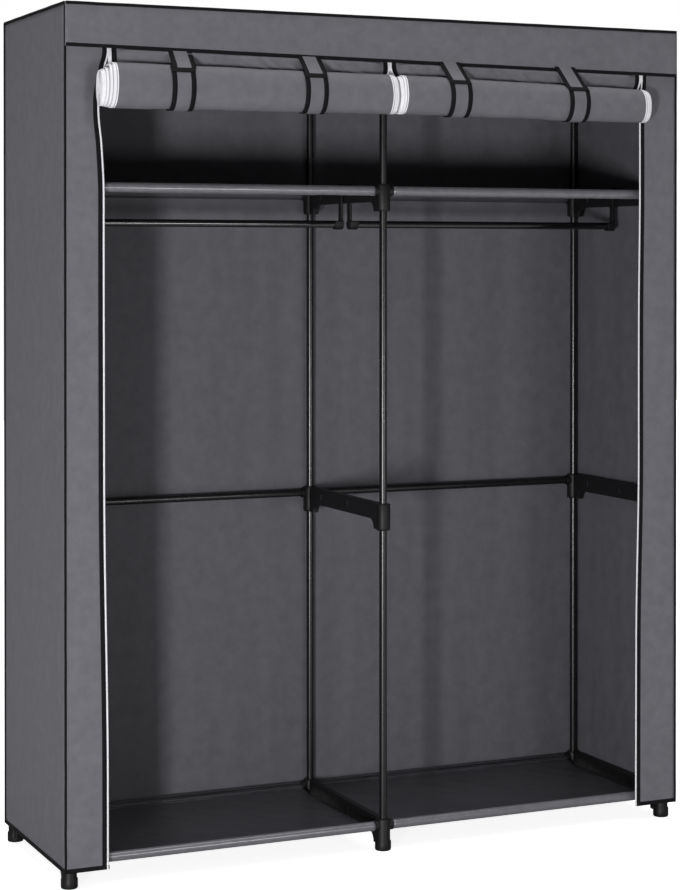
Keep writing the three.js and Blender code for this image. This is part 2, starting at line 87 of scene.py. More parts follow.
SOFT_BOX_BEARING = math.radians(32.5)
SOFT_BOX_DISTANCE = 4.6
SOFT_BOX_MIDDLE = 0.38
SOFT_BOX_WIDTH = 0.36
SOFT_BOX_TALL = 0.74
SOFT_BOX_POWER = 150
FRONT_FILL_AT = (0.78, -3.3, 0.75)
FRONT_FILL_SIZE = (0.85, 0.35)
FRONT_FILL_POWER = 16
OVERHEAD_STRENGTH = 2.6
OVERHEAD_SPREAD = math.radians(50)
ROOM_LIGHT = 0.17
ROOM_SEEN = 1.0
FLOOR_REACH = 12
FLOOR_STEP = 2
FLOOR_SEEN, FLOOR_SEEN_PALER = "#ededee", "#f3f3f4"
FLOOR_THROWN = "#b4b4b5"
FLOOR_LIFT = 0.85
FLOOR_DRIFT = 0.7
WHITE = (1, 1, 1, 1)


def linear(hex_colour):
    channels = [int(hex_colour[i : i + 2], 16) / 255 for i in (1, 3, 5)]
    bent = [c / 12.92 if c <= 0.04045 else ((c + 0.055) / 1.055) ** 2.4 for c in channels]
    return (*bent, 1.0)


def box(node_name):
    """The lowest and the highest corner of a CAD node."""
    return [Vector(corner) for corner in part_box(node_name)]


def node(tree, kind, settings=None, links=None):
    """Adds a node. A setting is one of its own, or the value of the input so named."""
    made = tree.nodes.new(kind)
    for key, value in (settings or {}).items():
        if isinstance(key, str) and hasattr(made, key):
            setattr(made, key, value)
        else:
            made.inputs[key].default_value = value
    for key, source in (links or {}).items():
        tree.links.new(source, made.inputs[key])
    return made


def material(name, **finish):
    """A material whose shader takes the finish, such as base_color or roughness."""
    made = bpy.data.materials.new(name)
    made.use_nodes = True
    shader = made.node_tree.nodes["Principled BSDF"]
    titles = {title.lower().replace(" ", "_"): title for title in shader.inputs.keys()}
    for key, value in finish.items():
        shader.inputs[titles[key]].default_value = value
    return made, made.node_tree, shader


def show(name, data):
    shown = bpy.data.objects.new(name, data)
    bpy.context.scene.collection.objects.link(shown)
    return shown


room = bpy.data.worlds.new("pale room")
bpy.context.scene.world = room
room.use_nodes = True
path = node(room.node_tree, "ShaderNodeLightPath")
seen = node(
    room.node_tree,
    "ShaderNodeMapRange",
    {"To Min": ROOM_LIGHT, "To Max": ROOM_SEEN},
    {"Value": path.outputs["Is Camera Ray"]},
)
background = room.node_tree.nodes["Background"]
room.node_tree.links.new(seen.outputs["Result"], background.inputs["Strength"])
background.inputs["Color"].default_value = WHITE

stile_low, stile_high = box("front_stile_left")
opening = Vector((stile_high.x, stile_low.y, SOFT_BOX_MIDDLE))
bearing = Vector((-math.sin(SOFT_BOX_BEARING), -math.cos(SOFT_BOX_BEARING), 0))
soft_box = show("soft_box", bpy.data.lights.new("soft box", "AREA"))
soft_box.data.shape = "RECTANGLE"
soft_box.data.size = SOFT_BOX_WIDTH
soft_box.data.size_y = SOFT_BOX_TALL
soft_box.data.energy = SOFT_BOX_POWER
soft_box.location = opening + bearing * SOFT_BOX_DISTANCE
soft_box.rotation_euler = (-bearing).to_track_quat("-Z", "Y").to_euler()

front_fill = show("front_fill", bpy.data.lights.new("front fill", "AREA"))
front_fill.data.shape = "RECTANGLE"
front_fill.data.size, front_fill.data.size_y = FRONT_FILL_SIZE
front_fill.data.energy = FRONT_FILL_POWER
front_fill.location = FRONT_FILL_AT
front_fill.rotation_euler = Euler((math.pi / 2, 0, 0))

overhead = show("overhead", bpy.data.lights.new("overhead", "SUN"))
overhead.data.energy = OVERHEAD_STRENGTH
overhead.data.angle = OVERHEAD_SPREAD

floor_finish, tree, shader = material(
    "pale studio floor", base_color=linear(FLOOR_SEEN), roughness=0.9
)
place = node(tree, "ShaderNodeTexCoord")
path = node(tree, "ShaderNodeLightPath")
drift = node(tree, "ShaderNodeTexNoise", {"Scale": FLOOR_DRIFT}, {"Vector": place.outputs["Object"]})
tone = node(
    tree,
    "ShaderNodeMix",
    {"data_type": "RGBA", 6: linear(FLOOR_SEEN), 7: linear(FLOOR_SEEN_PALER)},
    {0: drift.outputs["Fac"]},
)
# The floor looks pale but throws little light up, as a sheet with a black one under the
# object does in a studio, so the lower cloth stays as dark as the upper.
bounce = node(
    tree,
    "ShaderNodeMix",
    {"data_type": "RGBA", 6: linear(FLOOR_THROWN)},
    {0: path.outputs["Is Camera Ray"], 7: tone.outputs[2]},
)
lift = node(
    tree,
    "ShaderNodeMapRange",
    {"To Max": FLOOR_LIFT},
    {"Value": path.outputs["Is Camera Ray"]},
)
tree.links.new(bounce.outputs[2], shader.inputs["Base Color"])
tree.links.new(lift.outputs["Result"], shader.inputs["Emission Strength"])
shader.inputs["Emission Color"].default_value = WHITE

floor_places = range(-FLOOR_REACH, FLOOR_REACH + FLOOR_STEP, FLOOR_STEP)
floor_rows = [[(x, y, 0) for x in floor_places] for y in floor_places]


# The frame's tubes. Thin-walled steel, 16 mm across, cut to length, powder coated black
# and pushed into the connectors.

TUBE_SIDES = 32
CUT_EDGE = 0.0006
ORANGE_PEEL = 0.0022
ORANGE_PEEL_DEPTH = 0.000005
HANDLED_PER_METRE = 18
COAT_ROUGHNESS = {"To Min": 0.24, "To Max": 0.32}


def lattice(name, rows, across=None, along=None, wrap=False, capped=False, crease=40):
    """A mesh through rows of points. Its UV holds metres across and along each row."""
    count = len(rows[0])
    across = across or list(range(count + 1))
    along = along or list(range(len(rows)))
    faces, cut = [], []
    for i in range(len(rows) - 1):
        for j in range(count if wrap else count - 1):
            k = (j + 1) % count
            low, high = i * count, (i + 1) * count
            faces.append((low + j, low + k, high + k, high + j))
            corners = ((j, i), (j + 1, i), (j + 1, i + 1), (j, i + 1))
            cut.extend((across[a], along[b]) for a, b in corners)
    if capped:
        last = (len(rows) - 1) * count
        faces.append(tuple(reversed(range(count))))
        faces.append(tuple(range(last, last + count)))
        for row, order in ((rows[0], reversed(range(count))), (rows[-1], range(count))):
            middle = sum((Vector(point) for point in row), Vector()) / count
            side = (Vector(row[0]) - middle).normalized()
            other = side.cross(Vector(row[count // 4]) - middle).cross(side).normalized()
            for j in order:
                arm = Vector(row[j]) - middle
                cut.append((arm.dot(side), arm.dot(other)))
    mesh = bpy.data.meshes.new(name)
    mesh.from_pydata([p for row in rows for p in row], [], faces)
    layer = mesh.uv_layers.new(name="cut")
    layer.data.foreach_set("uv", [value for corner in cut for value in corner])
    mesh.shade_smooth()
    mesh.set_sharp_from_angle(angle=math.radians(crease))
    return mesh


def middle_of(node_name):
    low, high = box(node_name)
    return (low + high) / 2


def turned(name, profile, centre, axis, sides=TUBE_SIDES):
    """A closed round body. The profile lists radius and place along X, Y or Z."""
    centre = Vector(centre)
    along = Vector([float(letter == axis) for letter in "XYZ"])
    side = Vector((0, 1, 0)) if axis == "X" else Vector((1, 0, 0))
    up = along.cross(side)
    rows, reach = [], [0]
    for i, (radius, place_along) in enumerate(profile):
        middle = centre + along * place_along
        angles = [math.tau * j / sides for j in range(sides)]
        rows.append([middle + radius * (side * math.cos(a) + up * math.sin(a)) for a in angles])
        if i:
            before = profile[i - 1]
            reach.append(reach[-1] + math.dist(before, (radius, place_along)))
    widest = max(radius for radius, _ in profile)
    across = [math.tau * widest * j / sides for j in range(sides + 1)]
    return lattice(name, rows, across, reach, wrap=True, capped=True, crease=30)


def fit(name, mesh, body, finishes, replaces=()):
    """Puts a finished mesh on the frame: its body and what it stands for. A cloth
    that two bodies share has no body of its own here."""
    for finish in finishes:
        mesh.materials.append(finish)
    made = show(name, mesh)
    if body:
        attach(made, body)
    if replaces:
        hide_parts(*replaces)
    return made


floor = show("floor", lattice("floor", floor_rows))
floor.data.materials.append(floor_finish)

black_coat, tree, shader = material(
    "black powder coated steel", base_color=linear("#101012"), roughness=0.28, ior=1.5
)
place = node(tree, "ShaderNodeTexCoord")
# Powder runs together into a faint orange peel, about 2 mm from crest to crest.
peel = node(
    tree, "ShaderNodeTexNoise", {"Scale": 1 / ORANGE_PEEL}, {"Vector": place.outputs["Object"]}
)
bump = node(
    tree,
    "ShaderNodeBump",
    {"Strength": 0.3, "Distance": ORANGE_PEEL_DEPTH},
    {"Height": peel.outputs["Fac"]},
)
tree.links.new(bump.outputs["Normal"], shader.inputs["Normal"])
handled = node(
    tree, "ShaderNodeTexNoise", {"Scale": HANDLED_PER_METRE}, {"Vector": place.outputs["Object"]}
)
worn = node(tree, "ShaderNodeMapRange", COAT_ROUGHNESS, {"Value": handled.outputs["Fac"]})
tree.links.new(worn.outputs["Result"], shader.inputs["Roughness"])


def tube(name, stands_for, body="root", finishes=(black_coat,)):
    """A tube over its CAD node: the long side of the node's box is the tube's axis."""
    low, high = box(stands_for)
    size = high - low
    axis = max(range(3), key=lambda side: size[side])
    radius = min(size) / 2
    half = size[axis] / 2
    wall = radius - CUT_EDGE
    profile = [(wall, -half), (radius, CUT_EDGE - half)]
    profile += [(radius, half * share) for share in (-0.5, 0, 0.5)]
    profile += [(radius, half - CUT_EDGE), (wall, half)]
    mesh = turned(name, profile, middle_of(stands_for), "XYZ"[axis])
    return fit(name, mesh, body, finishes, [stands_for])


for row in ("front", "rear"):
    for column in ("left", "centre", "right"):
        tube(f"{row}_upright_tube_{column}", f"upright_{row}_{column}")
    tube(f"top_{row}_tube", f"top_rail_{row}")
for rail in (
    "base_rail_front",
    "base_rail_rear",
    "mid_rail_rear",
    "shelf_rail_front",
    "shelf_rail_rear",
):
    for bay in ("left", "right"):
        tube(f"{rail}_tube_{bay}", f"{rail}_{bay}")


# The connectors, moulded in black polypropylene. Each is a flat beam from front to rear
# that deepens in a curve to an upright socket at both ends, with a collar for each rail.
# The lowest ones close into feet.

SOCKET_RADIUS = 0.015
SOCKET_ABOVE, SOCKET_BELOW = 0.014, 0.042
SOCKET_EDGE = 0.002
BORE_RADIUS = 0.0083
BORE_END_WALL = 0.0014
COLLAR_RADIUS = 0.011
COLLAR_REACH = 0.021
BEAM_HALF_THICKNESS = 0.007
BEAM_BELOW = 0.022
GUSSET_REACH = 0.018
BEAM_EDGE = 0.0012
SLOT_WIDTH, SLOT_HEIGHT = 0.003, 0.012
SLOT_SHARES = (0.43, 0.8)
FOOT_RADIUS = 0.017
FOOT_HEIGHT = 0.022
FOOT_EDGE = 0.0035
FOOT_FLOOR = 0.010
GUSSET_STEPS = 10
MOULD_GRAIN = 0.0025
MOULD_GRAIN_DEPTH = 0.00004
FLOW_MARKS_PER_METRE = 30


def arc(middle, radius, start, end, steps):
    """Points on a round arc in a side view, with angles in degrees."""
    angles = [math.radians(start + (end - start) * i / steps) for i in range(steps + 1)]
    return [(middle[0] + radius * math.cos(a), middle[1] + radius * math.sin(a)) for a in angles]


def moulded_plate(name, outlines, half_thickness, edge, centre_x):
    """A flat moulding with rounded edges, drawn as Y and Z outlines, with its holes."""
    curve = bpy.data.curves.new(name, "CURVE")
    curve.dimensions = "2D"
    curve.fill_mode = "BOTH"
    curve.extrude = half_thickness - edge
    curve.bevel_depth = edge
    curve.bevel_resolution = 2
    curve.offset = -edge
    for outline in outlines:
        spline = curve.splines.new("POLY")
        spline.points.add(len(outline) - 1)
        for point, (y, z) in zip(spline.points, outline):
            point.co = (y, z, 0, 1)
        spline.use_cyclic_u = True
    drawn = bpy.data.objects.new(name, curve)
    mesh = bpy.data.meshes.new_from_object(drawn)
    bpy.data.objects.remove(drawn)
    bpy.data.curves.remove(curve)
    upright = Matrix(((0, 0, 1, centre_x), (1, 0, 0, 0), (0, 1, 0, 0), (0, 0, 0, 1)))
    mesh.transform(upright)
    return mesh


def fused(name, solids, cuts=()):
    """One closed mesh from solids that overlap, less the cuts."""
    parts = [show(name, solid) for solid in (*solids, *cuts)]
    for part in parts[1:]:
        step = parts[0].modifiers.new("step", "BOOLEAN")
        step.operation = "UNION" if part in parts[: len(solids)] else "DIFFERENCE"
        step.solver = "EXACT"
        step.object = part
    ready = parts[0].evaluated_get(bpy.context.evaluated_depsgraph_get())
    mesh = bpy.data.meshes.new_from_object(ready)
    for part in parts:
        bpy.data.objects.remove(part)
    mesh.name = name
    mesh.shade_smooth()
    mesh.set_sharp_from_angle(angle=math.radians(35))
    return mesh


polypropylene, tree, shader = material(
    "black moulded polypropylene",
    base_color=linear("#101012"),
    roughness=0.5,
    specular_ior_level=0.3,
)
place = node(tree, "ShaderNodeTexCoord")
# The mould is spark eroded, a grain of some 0.1 mm, drawn at 2.5 mm so that it shows.
grain = node(
    tree,
    "ShaderNodeTexNoise",
    {"Scale": 1 / MOULD_GRAIN, "Detail": 3},
    {"Vector": place.outputs["Object"]},
)
bump = node(
    tree,
    "ShaderNodeBump",
    {"Strength": 0.6, "Distance": MOULD_GRAIN_DEPTH},
    {"Height": grain.outputs["Fac"]},
)
tree.links.new(bump.outputs["Normal"], shader.inputs["Normal"])
flow = node(
    tree, "ShaderNodeTexNoise", {"Scale": FLOW_MARKS_PER_METRE}, {"Vector": place.outputs["Object"]}
)
tone = node(
    tree,
    "ShaderNodeMix",
    {"data_type": "RGBA", 6: linear("#0d0d0f"), 7: linear("#141416")},
    {0: flow.outputs["Fac"]},
)
tree.links.new(tone.outputs[2], shader.inputs["Base Color"])


def connector_mesh(name, x, front_y, rear_y, rail_z, collars, standing, top, through):
    """collars lists each collar as the Y of its socket and its side, -1 or 1."""
    gusset = SOCKET_BELOW - BEAM_BELOW
    low = rail_z - SOCKET_BELOW
    front_face = front_y + SOCKET_RADIUS + GUSSET_REACH
    rear_face = rear_y - SOCKET_RADIUS - GUSSET_REACH
    beam_top = rail_z + SOCKET_ABOVE
    side_view = [(front_y, beam_top), (front_y, low)]
    side_view += arc((front_face + gusset, low), gusset, 180, 90, GUSSET_STEPS)
    side_view += arc((rear_face - gusset, low), gusset, 90, 0, GUSSET_STEPS)
    side_view += [(rear_y, low), (rear_y, beam_top)]
    middle_z = rail_z + (SOCKET_ABOVE - BEAM_BELOW) / 2
    outlines = [side_view]
    for share in SLOT_SHARES:
        y = front_y + share * (rear_y - front_y)
        half = (SLOT_WIDTH / 2, SLOT_HEIGHT / 2)
        corners = ((-1, -1), (1, -1), (1, 1), (-1, 1))
        outlines.append([(y + a * half[0], middle_z + b * half[1]) for a, b in corners])
    solids = [moulded_plate(name, outlines, BEAM_HALF_THICKNESS, BEAM_EDGE, x)]
    cuts = []
    round_edge = SOCKET_RADIUS - SOCKET_EDGE
    for y in (front_y, rear_y):
        shell = [
            (round_edge, -SOCKET_BELOW),
            (SOCKET_RADIUS - SOCKET_EDGE / 4, SOCKET_EDGE / 4 * 3 - SOCKET_BELOW),
            (SOCKET_RADIUS, SOCKET_EDGE * 2 - SOCKET_BELOW),
            (SOCKET_RADIUS, SOCKET_ABOVE - SOCKET_EDGE),
            (SOCKET_RADIUS - SOCKET_EDGE / 3, SOCKET_ABOVE - SOCKET_EDGE / 3),
            (round_edge, SOCKET_ABOVE),
        ]
        if standing:
            shell = [
                (FOOT_RADIUS - FOOT_EDGE, -rail_z),
                (FOOT_RADIUS - FOOT_EDGE / 4, FOOT_EDGE / 4 - rail_z),
                (FOOT_RADIUS, FOOT_EDGE - rail_z),
                (FOOT_RADIUS, FOOT_HEIGHT - FOOT_EDGE - rail_z),
                (SOCKET_RADIUS, FOOT_HEIGHT - rail_z),
            ] + shell[3:]
        solids.append(turned(name, shell, (x, y, rail_z), "Z"))
        bore_low = FOOT_FLOOR - rail_z if standing else -2 * SOCKET_BELOW
        bore_high = 0 if through else -BORE_RADIUS if top else 2 * SOCKET_ABOVE
        bore = [(BORE_RADIUS, bore_low), (BORE_RADIUS, bore_high)]
        cuts.append(turned(name, bore, (x, y, rail_z), "Z"))
    for y, side in collars:
        near, far = sorted((0, side * COLLAR_REACH))
        lip = [(COLLAR_RADIUS - CUT_EDGE, near), (COLLAR_RADIUS, near + CUT_EDGE)]
        lip += [(COLLAR_RADIUS, far - CUT_EDGE), (COLLAR_RADIUS - CUT_EDGE, far)]
        solids.append(turned(name, lip, (x, y, rail_z), "X"))
        start = -side * COLLAR_RADIUS if through else side * (BORE_RADIUS + BORE_END_WALL)
        near, far = sorted((start, side * 2 * COLLAR_REACH))
        cuts.append(turned(name, [(BORE_RADIUS, near), (BORE_RADIUS, far)], (x, y, rail_z), "X"))
    return fused(name, solids, cuts)


INWARD = {"left": [1], "centre": [-1, 1], "right": [-1]}
for level in ("base", "mid", "shelf", "top"):
    for column, sides in INWARD.items():
        stands_for = f"{level}_beam_{column}"
        x, front_y, _ = middle_of(f"upright_front_{column}")
        rear_y = middle_of(f"upright_rear_{column}").y
        rail_z = box(stands_for)[1].z - SOCKET_ABOVE
        ends = [rear_y] if level == "mid" else [front_y, rear_y]
        name = f"{level}_connector_{column}"
        mesh = connector_mesh(
            name,
            x,
            front_y,
            rear_y,
            rail_z,
            collars=[(y, side) for y in ends for side in sides],
            standing=level == "base",
            top=level == "top",
            through=level == "top" and column == "centre",
        )
        fit(name, mesh, "root", [polypropylene], [stands_for])


# The shelf cloths, a firmer non-woven than the cover, drawn nearly black as painted shade
# for the dark inside of the wardrobe. Each is one sheet whose front and rear edges are
# turned round a rail and sewn down as sleeves, and it hangs slack between them.

SLEEVE_RADIUS = 0.0092
RAIL_INSET = 0.010
SHELF_CLOTH = 0.0012
SHELF_SAGS = {"base": 0.018, "upper": 0.010}
SAG_FLATNESS = 10
SLEEVE_STITCH = 0.016
SLEEVE_TUCK = 0.0055
SLEEVE_STEPS = 14
SHELF_STEP = 0.006
SHELF_BILLOW, SHELF_BILLOW_SIZE = 0.0026, (0.13, 0.09)
SHELF_DRAG, SHELF_DRAG_SIZE = 0.0014, (0.035, 0.2)
PUCKER_LENGTH = 0.012
STITCH_STEP = 0.0015
STITCH_WIDTH, STITCH_DENT = 0.0022, 0.0022
BOND_POINT = 0.0032
FIBRE_CLOUD = 0.016
SHELF_EMBOSS, SLEEVE_EMBOSS = 0.0002, 0.00005
ROUGHNESS_SPREAD = 0.08


def spaced(start, end, step):
    """Evenly spaced values from start to end, about a step apart."""
    count = max(1, round(abs(end - start) / step))
    return [start + (end - start) * i / count for i in range(count + 1)]


def ripple(*place):
    """Smooth noise between -1 and 1."""
    return noise.noise(Vector(place))


def waves(u, v, size, seed):
    """Ripples of that size along u and along v, both in metres."""
    return ripple(u / size[0], v / size[1], seed)


def lengths(route):
    """How far along a route each of its points lies."""
    reach = [0.0]
    for before, after in zip(route, route[1:]):
        reach.append(reach[-1] + math.dist(before, after))
    return reach


def spunbond(name, light, dark, roughness, emboss, cloud_scale):
    """Spunbond polypropylene. Fibres pressed into a web show as soft clouds of light and
    dark, and the rollers leave a dull grid of bond points."""
    made, tree, shader = material(
        name, base_color=linear(light), roughness=roughness, ior=1.49, sheen_weight=0.02
    )
    place = node(tree, "ShaderNodeTexCoord")
    cloud = node(
        tree,
        "ShaderNodeTexNoise",
        {"Scale": 1 / cloud_scale, "Detail": 6, "Roughness": 0.62},
        {"Vector": place.outputs["Object"]},
    )
    spread = node(
        tree,
        "ShaderNodeMapRange",
        {"From Min": 0.32, "From Max": 0.68},
        {"Value": cloud.outputs["Fac"]},
    )
    tone = node(
        tree,
        "ShaderNodeMix",
        {"data_type": "RGBA", 6: linear(dark), 7: linear(light)},
        {0: spread.outputs["Result"]},
    )
    tree.links.new(tone.outputs[2], shader.inputs["Base Color"])
    # Bond points lie under a millimetre apart and are drawn at 3 mm so that they show.
    points = node(
        tree,
        "ShaderNodeTexVoronoi",
        {"voronoi_dimensions": "2D", "Scale": 1 / BOND_POINT, "Randomness": 0.08},
        {"Vector": place.outputs["UV"]},
    )
    height = node(
        tree,
        "ShaderNodeMath",
        {"operation": "MULTIPLY_ADD", 1: 0.5},
        {0: points.outputs["Distance"], 2: cloud.outputs["Fac"]},
    )
    bump = node(
        tree,
        "ShaderNodeBump",
        {"Strength": 1.0, "Distance": emboss},
        {"Height": height.outputs["Value"]},
    )
    tree.links.new(bump.outputs["Normal"], shader.inputs["Normal"])
    matt = node(
        tree,
        "ShaderNodeMapRange",
        {"To Min": roughness - ROUGHNESS_SPREAD, "To Max": roughness + ROUGHNESS_SPREAD},
        {"Value": cloud.outputs["Fac"]},
    )
    tree.links.new(matt.outputs["Result"], shader.inputs["Roughness"])
    return made


# Pressed between hot rollers, the shelf cloth has a faint shine. Its near-black colour
# is painted shade, a darkened copy of the cover's grey.
shaded_shelf_cloth = spunbond(
    "calendered non-woven darkened as painted shade", "#3d3c42", "#323136", 0.36, SHELF_EMBOSS, FIBRE_CLOUD
)
# Pulled tight over its rail, the front sleeve is smoother. Its paler colour is painted
# light, a lit copy of the shelf cloth where it faces the lamps.
lit_sleeve_cloth = spunbond(
    "satin sleeve non-woven paled as painted light", "#6b6a70", "#605f65", 0.22, SLEEVE_EMBOSS, FIBRE_CLOUD
)
satin = lit_sleeve_cloth.node_tree.nodes["Principled BSDF"].inputs
satin["Specular IOR Level"].default_value = 0.9
satin["Sheen Weight"].default_value = 0.4
satin["Sheen Roughness"].default_value = 0.25


def cloth(
    name,
    us,
    vs,
    place,
    finishes,
    thickness,
    stands_for,
    body="root",
    finish_at=None,
    reverse=0,
):
    """A cloth over u and v, its two cut directions in metres, with place giving the points.
    Its other side takes the finish that is reverse places further on."""
    mesh = lattice(name, [[place(u, v) for u in us] for v in vs], us, vs, crease=80)
    if finish_at:
        columns = len(us) - 1
        for i, face in enumerate(mesh.polygons):
            u = (us[i % columns] + us[i % columns + 1]) / 2
            v = (vs[i // columns] + vs[i // columns + 1]) / 2
            face.material_index = finish_at(u, v)
    made = fit(name, mesh, body, finishes, stands_for)
    body_of_cloth = made.modifiers.new("thickness", "SOLIDIFY")
    body_of_cloth.thickness = thickness
    body_of_cloth.offset = 0
    body_of_cloth.material_offset = reverse
    return made


def shelf_path(front_y, rear_y, rail_z, sag_depth):
    """The sheet's side view from one stitch line, round both rails, to the other."""
    turn = arc((0, 0), SLEEVE_RADIUS, -40, -270, SLEEVE_STEPS)
    front = [(front_y + y, rail_z + z) for y, z in turn]
    rear = [(rear_y - y, rail_z + z) for y, z in reversed(turn)]
    start = (front_y + SLEEVE_STITCH, rail_z + SLEEVE_RADIUS - SLEEVE_TUCK)
    stop = (rear_y - SLEEVE_STITCH, start[1])
    seams = (front_y + SLEEVE_STITCH * 1.5, rear_y - SLEEVE_STITCH * 1.5)
    span = spaced(front_y, seams[0], STITCH_STEP) + spaced(*seams, SHELF_STEP)[1:]
    span += spaced(seams[1], rear_y, STITCH_STEP)[1:]
    sheet = []
    for y in span[1:-1]:
        share = (y - front_y) / (rear_y - front_y)
        sag = sag_depth * (1 - (2 * share - 1) ** SAG_FLATNESS)
        sheet.append((y, rail_z + SLEEVE_RADIUS - sag))
    return [start, *front, *sheet, *rear, stop]


for level in ("base", "upper"):
    for bay in ("left", "right"):
        stands_for = f"{level}_shelf_{bay}"
        low, high = box(stands_for)
        front_y, rear_y = low.y + RAIL_INSET, high.y - RAIL_INSET
        rail_z = high.z - RAIL_INSET
        route = shelf_path(front_y, rear_y, rail_z, SHELF_SAGS[level])
        reach = lengths(route)
        along = dict(zip(reach, route))
        sheet_from, sheet_to = reach[SLEEVE_STEPS + 2], reach[-SLEEVE_STEPS - 3]
        seed = low.x * 9 + rail_z * 5

        def shelf_point(u, v):
            y, z = along[v]
            if not sheet_from <= v <= sheet_to:
                return (u, y, z)
            share = (y - front_y) / (rear_y - front_y)
            slack = max(0, 1 - (2 * share - 1) ** SAG_FLATNESS)
            edge = min(y - front_y, rear_y - y)
            billow = SHELF_BILLOW * waves(u, y, SHELF_BILLOW_SIZE, seed)
            drag = SHELF_DRAG * waves(u + 0.7 * y, y - 0.3 * u, SHELF_DRAG_SIZE, seed + 3)
            dent = STITCH_DENT * math.exp(-(((edge - SLEEVE_STITCH) / STITCH_WIDTH) ** 2))
            pucker = 1 + 0.6 * ripple(u / PUCKER_LENGTH, seed, 1)
            return (u, y, z + slack * (billow + drag) - dent * pucker)

        sleeve_end = front_y + SLEEVE_STITCH * 0.6
        flat_from = max(v for v in reach if v < reach[-1] / 2 and along[v][0] < sleeve_end)

        # The front sleeve takes the paler copy, painted light, and the sheet behind it the darker
        # one, painted shade.
        def shelf_finish(u, v):
            return 1 if v < flat_from else 0

        sheet = cloth(
            f"{level}_shelf_cloth_{bay}",
            spaced(low.x, high.x, SHELF_STEP),
            reach,
            shelf_point,
            [shaded_shelf_cloth, lit_sleeve_cloth],
            SHELF_CLOTH,
            [stands_for],
            finish_at=shelf_finish,
        )
        rail = "base_rail" if level == "base" else "shelf_rail"


# The rod hangers, moulded in the same polypropylene. Each clips over a shelf beam, and an
# arm at its side comes down to an open cradle in which a hanging rod rests.

HANGER_HALF_WIDTH = 0.007
HANGER_THICKNESS = 0.006
HANGER_LIP = 0.020
HANGER_FIT = 0.0004
HANGER_EDGE = 0.0009
CRADLE_REACH = 0.014
CRADLE_WALL = 0.003
CRADLE_ABOVE_ROD = 0.006
ROD_RADIUS = 0.008


def hanger_mesh(name, x, y, beam_top, rod_z, sides):
    face = BEAM_HALF_THICKNESS + HANGER_FIT
    back = face + HANGER_THICKNESS
    under = beam_top + HANGER_FIT
    top = under + HANGER_THICKNESS
    inner = ROD_RADIUS + HANGER_FIT
    outer = inner + CRADLE_WALL
    half = HANGER_HALF_WIDTH
    saddle = [(y - half, under), (y + half, under), (y + half, top), (y - half, top)]
    solids = [moulded_plate(name, [saddle], back, HANGER_EDGE, x)]
    lip = [(y - half, under - HANGER_LIP), (y + half, under - HANGER_LIP), *saddle[2:]]
    meet = math.degrees(math.asin(half / outer))
    arm = [(y + half, top), (y - half, top)]
    arm += arc((y, rod_z), outer, 90 + meet, 450 - meet, 20)
    cradle_top = rod_z + CRADLE_ABOVE_ROD
    cradle = [(y - outer, cradle_top), *arc((y, rod_z), outer, 180, 360, 16)]
    cradle += [(y + outer, cradle_top), (y + inner, cradle_top)]
    cradle += [*arc((y, rod_z), inner, 360, 180, 16), (y - inner, cradle_top)]
    for side in (-1, 1):
        plate_x = x + side * (face + back) / 2
        outline = arm if side in sides else lip
        solids.append(moulded_plate(name, [outline], HANGER_THICKNESS / 2, HANGER_EDGE, plate_x))
    tray_half = (HANGER_THICKNESS + CRADLE_REACH) / 2
    for side in sides:
        tray_x = x + side * (face + tray_half)
        solids.append(moulded_plate(name, [cradle], tray_half, HANGER_EDGE, tray_x))
    return fused(name, solids)


_, rod_y, rod_z = middle_of("hanging_rod_left")
for column, sides in INWARD.items():
    stands_for = f"rod_hanger_{column}"
    beam_top = box(f"shelf_beam_{column}")[1].z
    x = middle_of(f"upright_front_{column}").x
    mesh = hanger_mesh(f"rod_clip_{column}", x, rod_y, beam_top, rod_z, sides)
    fit(f"rod_clip_{column}", mesh, "root", [polypropylene], [stands_for])


# The two hanging rods are the same tube under a glossier enamel, sawn after coating, so a
# bright ring of bare steel shows at each end.

SAWN_RING = 0.003
RUBBED_PER_METRE = 40
ENAMEL_ROUGHNESS = {"To Min": 0.09, "To Max": 0.17}
SAW_MARKS_PER_METRE = 900
SAW_MARK_DEPTH = 0.00005

# Enamel dries smoother than powder, with one long sharp highlight, a little dulled where
# hangers rub it.
black_enamel, tree, shader = material(
    "gloss black enamelled steel",
    base_color=linear("#0e0e10"),
    roughness=0.12,
    ior=1.52,
    specular_ior_level=0.9,
)
place = node(tree, "ShaderNodeTexCoord")
rubbed = node(
    tree, "ShaderNodeTexNoise", {"Scale": RUBBED_PER_METRE}, {"Vector": place.outputs["Object"]}
)
worn = node(tree, "ShaderNodeMapRange", ENAMEL_ROUGHNESS, {"Value": rubbed.outputs["Fac"]})
tree.links.new(worn.outputs["Result"], shader.inputs["Roughness"])

# The saw's scratches are some 0.1 mm apart, drawn at 1 mm so that they break the shine.
bare_steel, tree, shader = material(
    "sawn bare steel", base_color=linear("#c4c4c2"), metallic=1.0, roughness=0.38
)
place = node(tree, "ShaderNodeTexCoord")
saw = node(
    tree,
    "ShaderNodeTexNoise",
    {"Scale": SAW_MARKS_PER_METRE, "Detail": 1},
    {"Vector": place.outputs["Object"]},
)
bump = node(
    tree,
    "ShaderNodeBump",
    {"Strength": 0.4, "Distance": SAW_MARK_DEPTH},
    {"Height": saw.outputs["Fac"]},
)
tree.links.new(bump.outputs["Normal"], shader.inputs["Normal"])

for bay in ("left", "right"):
    rod = tube(f"rod_tube_{bay}", f"hanging_rod_{bay}", f"{bay}_rod", (black_enamel, bare_steel))
    low, high = box(f"hanging_rod_{bay}")
    for face in rod.data.polygons:
        if min(face.center.x - low.x, high.x - face.center.x) < SAWN_RING:
            face.material_index = 1


# The cover's flat panels: back, two sides and two front stiles, cut from grey non-woven,
# sewn to each other at the corners and hung over the frame like a dust sheet. Cloth that
# was sold folded keeps long soft ridges down its length.

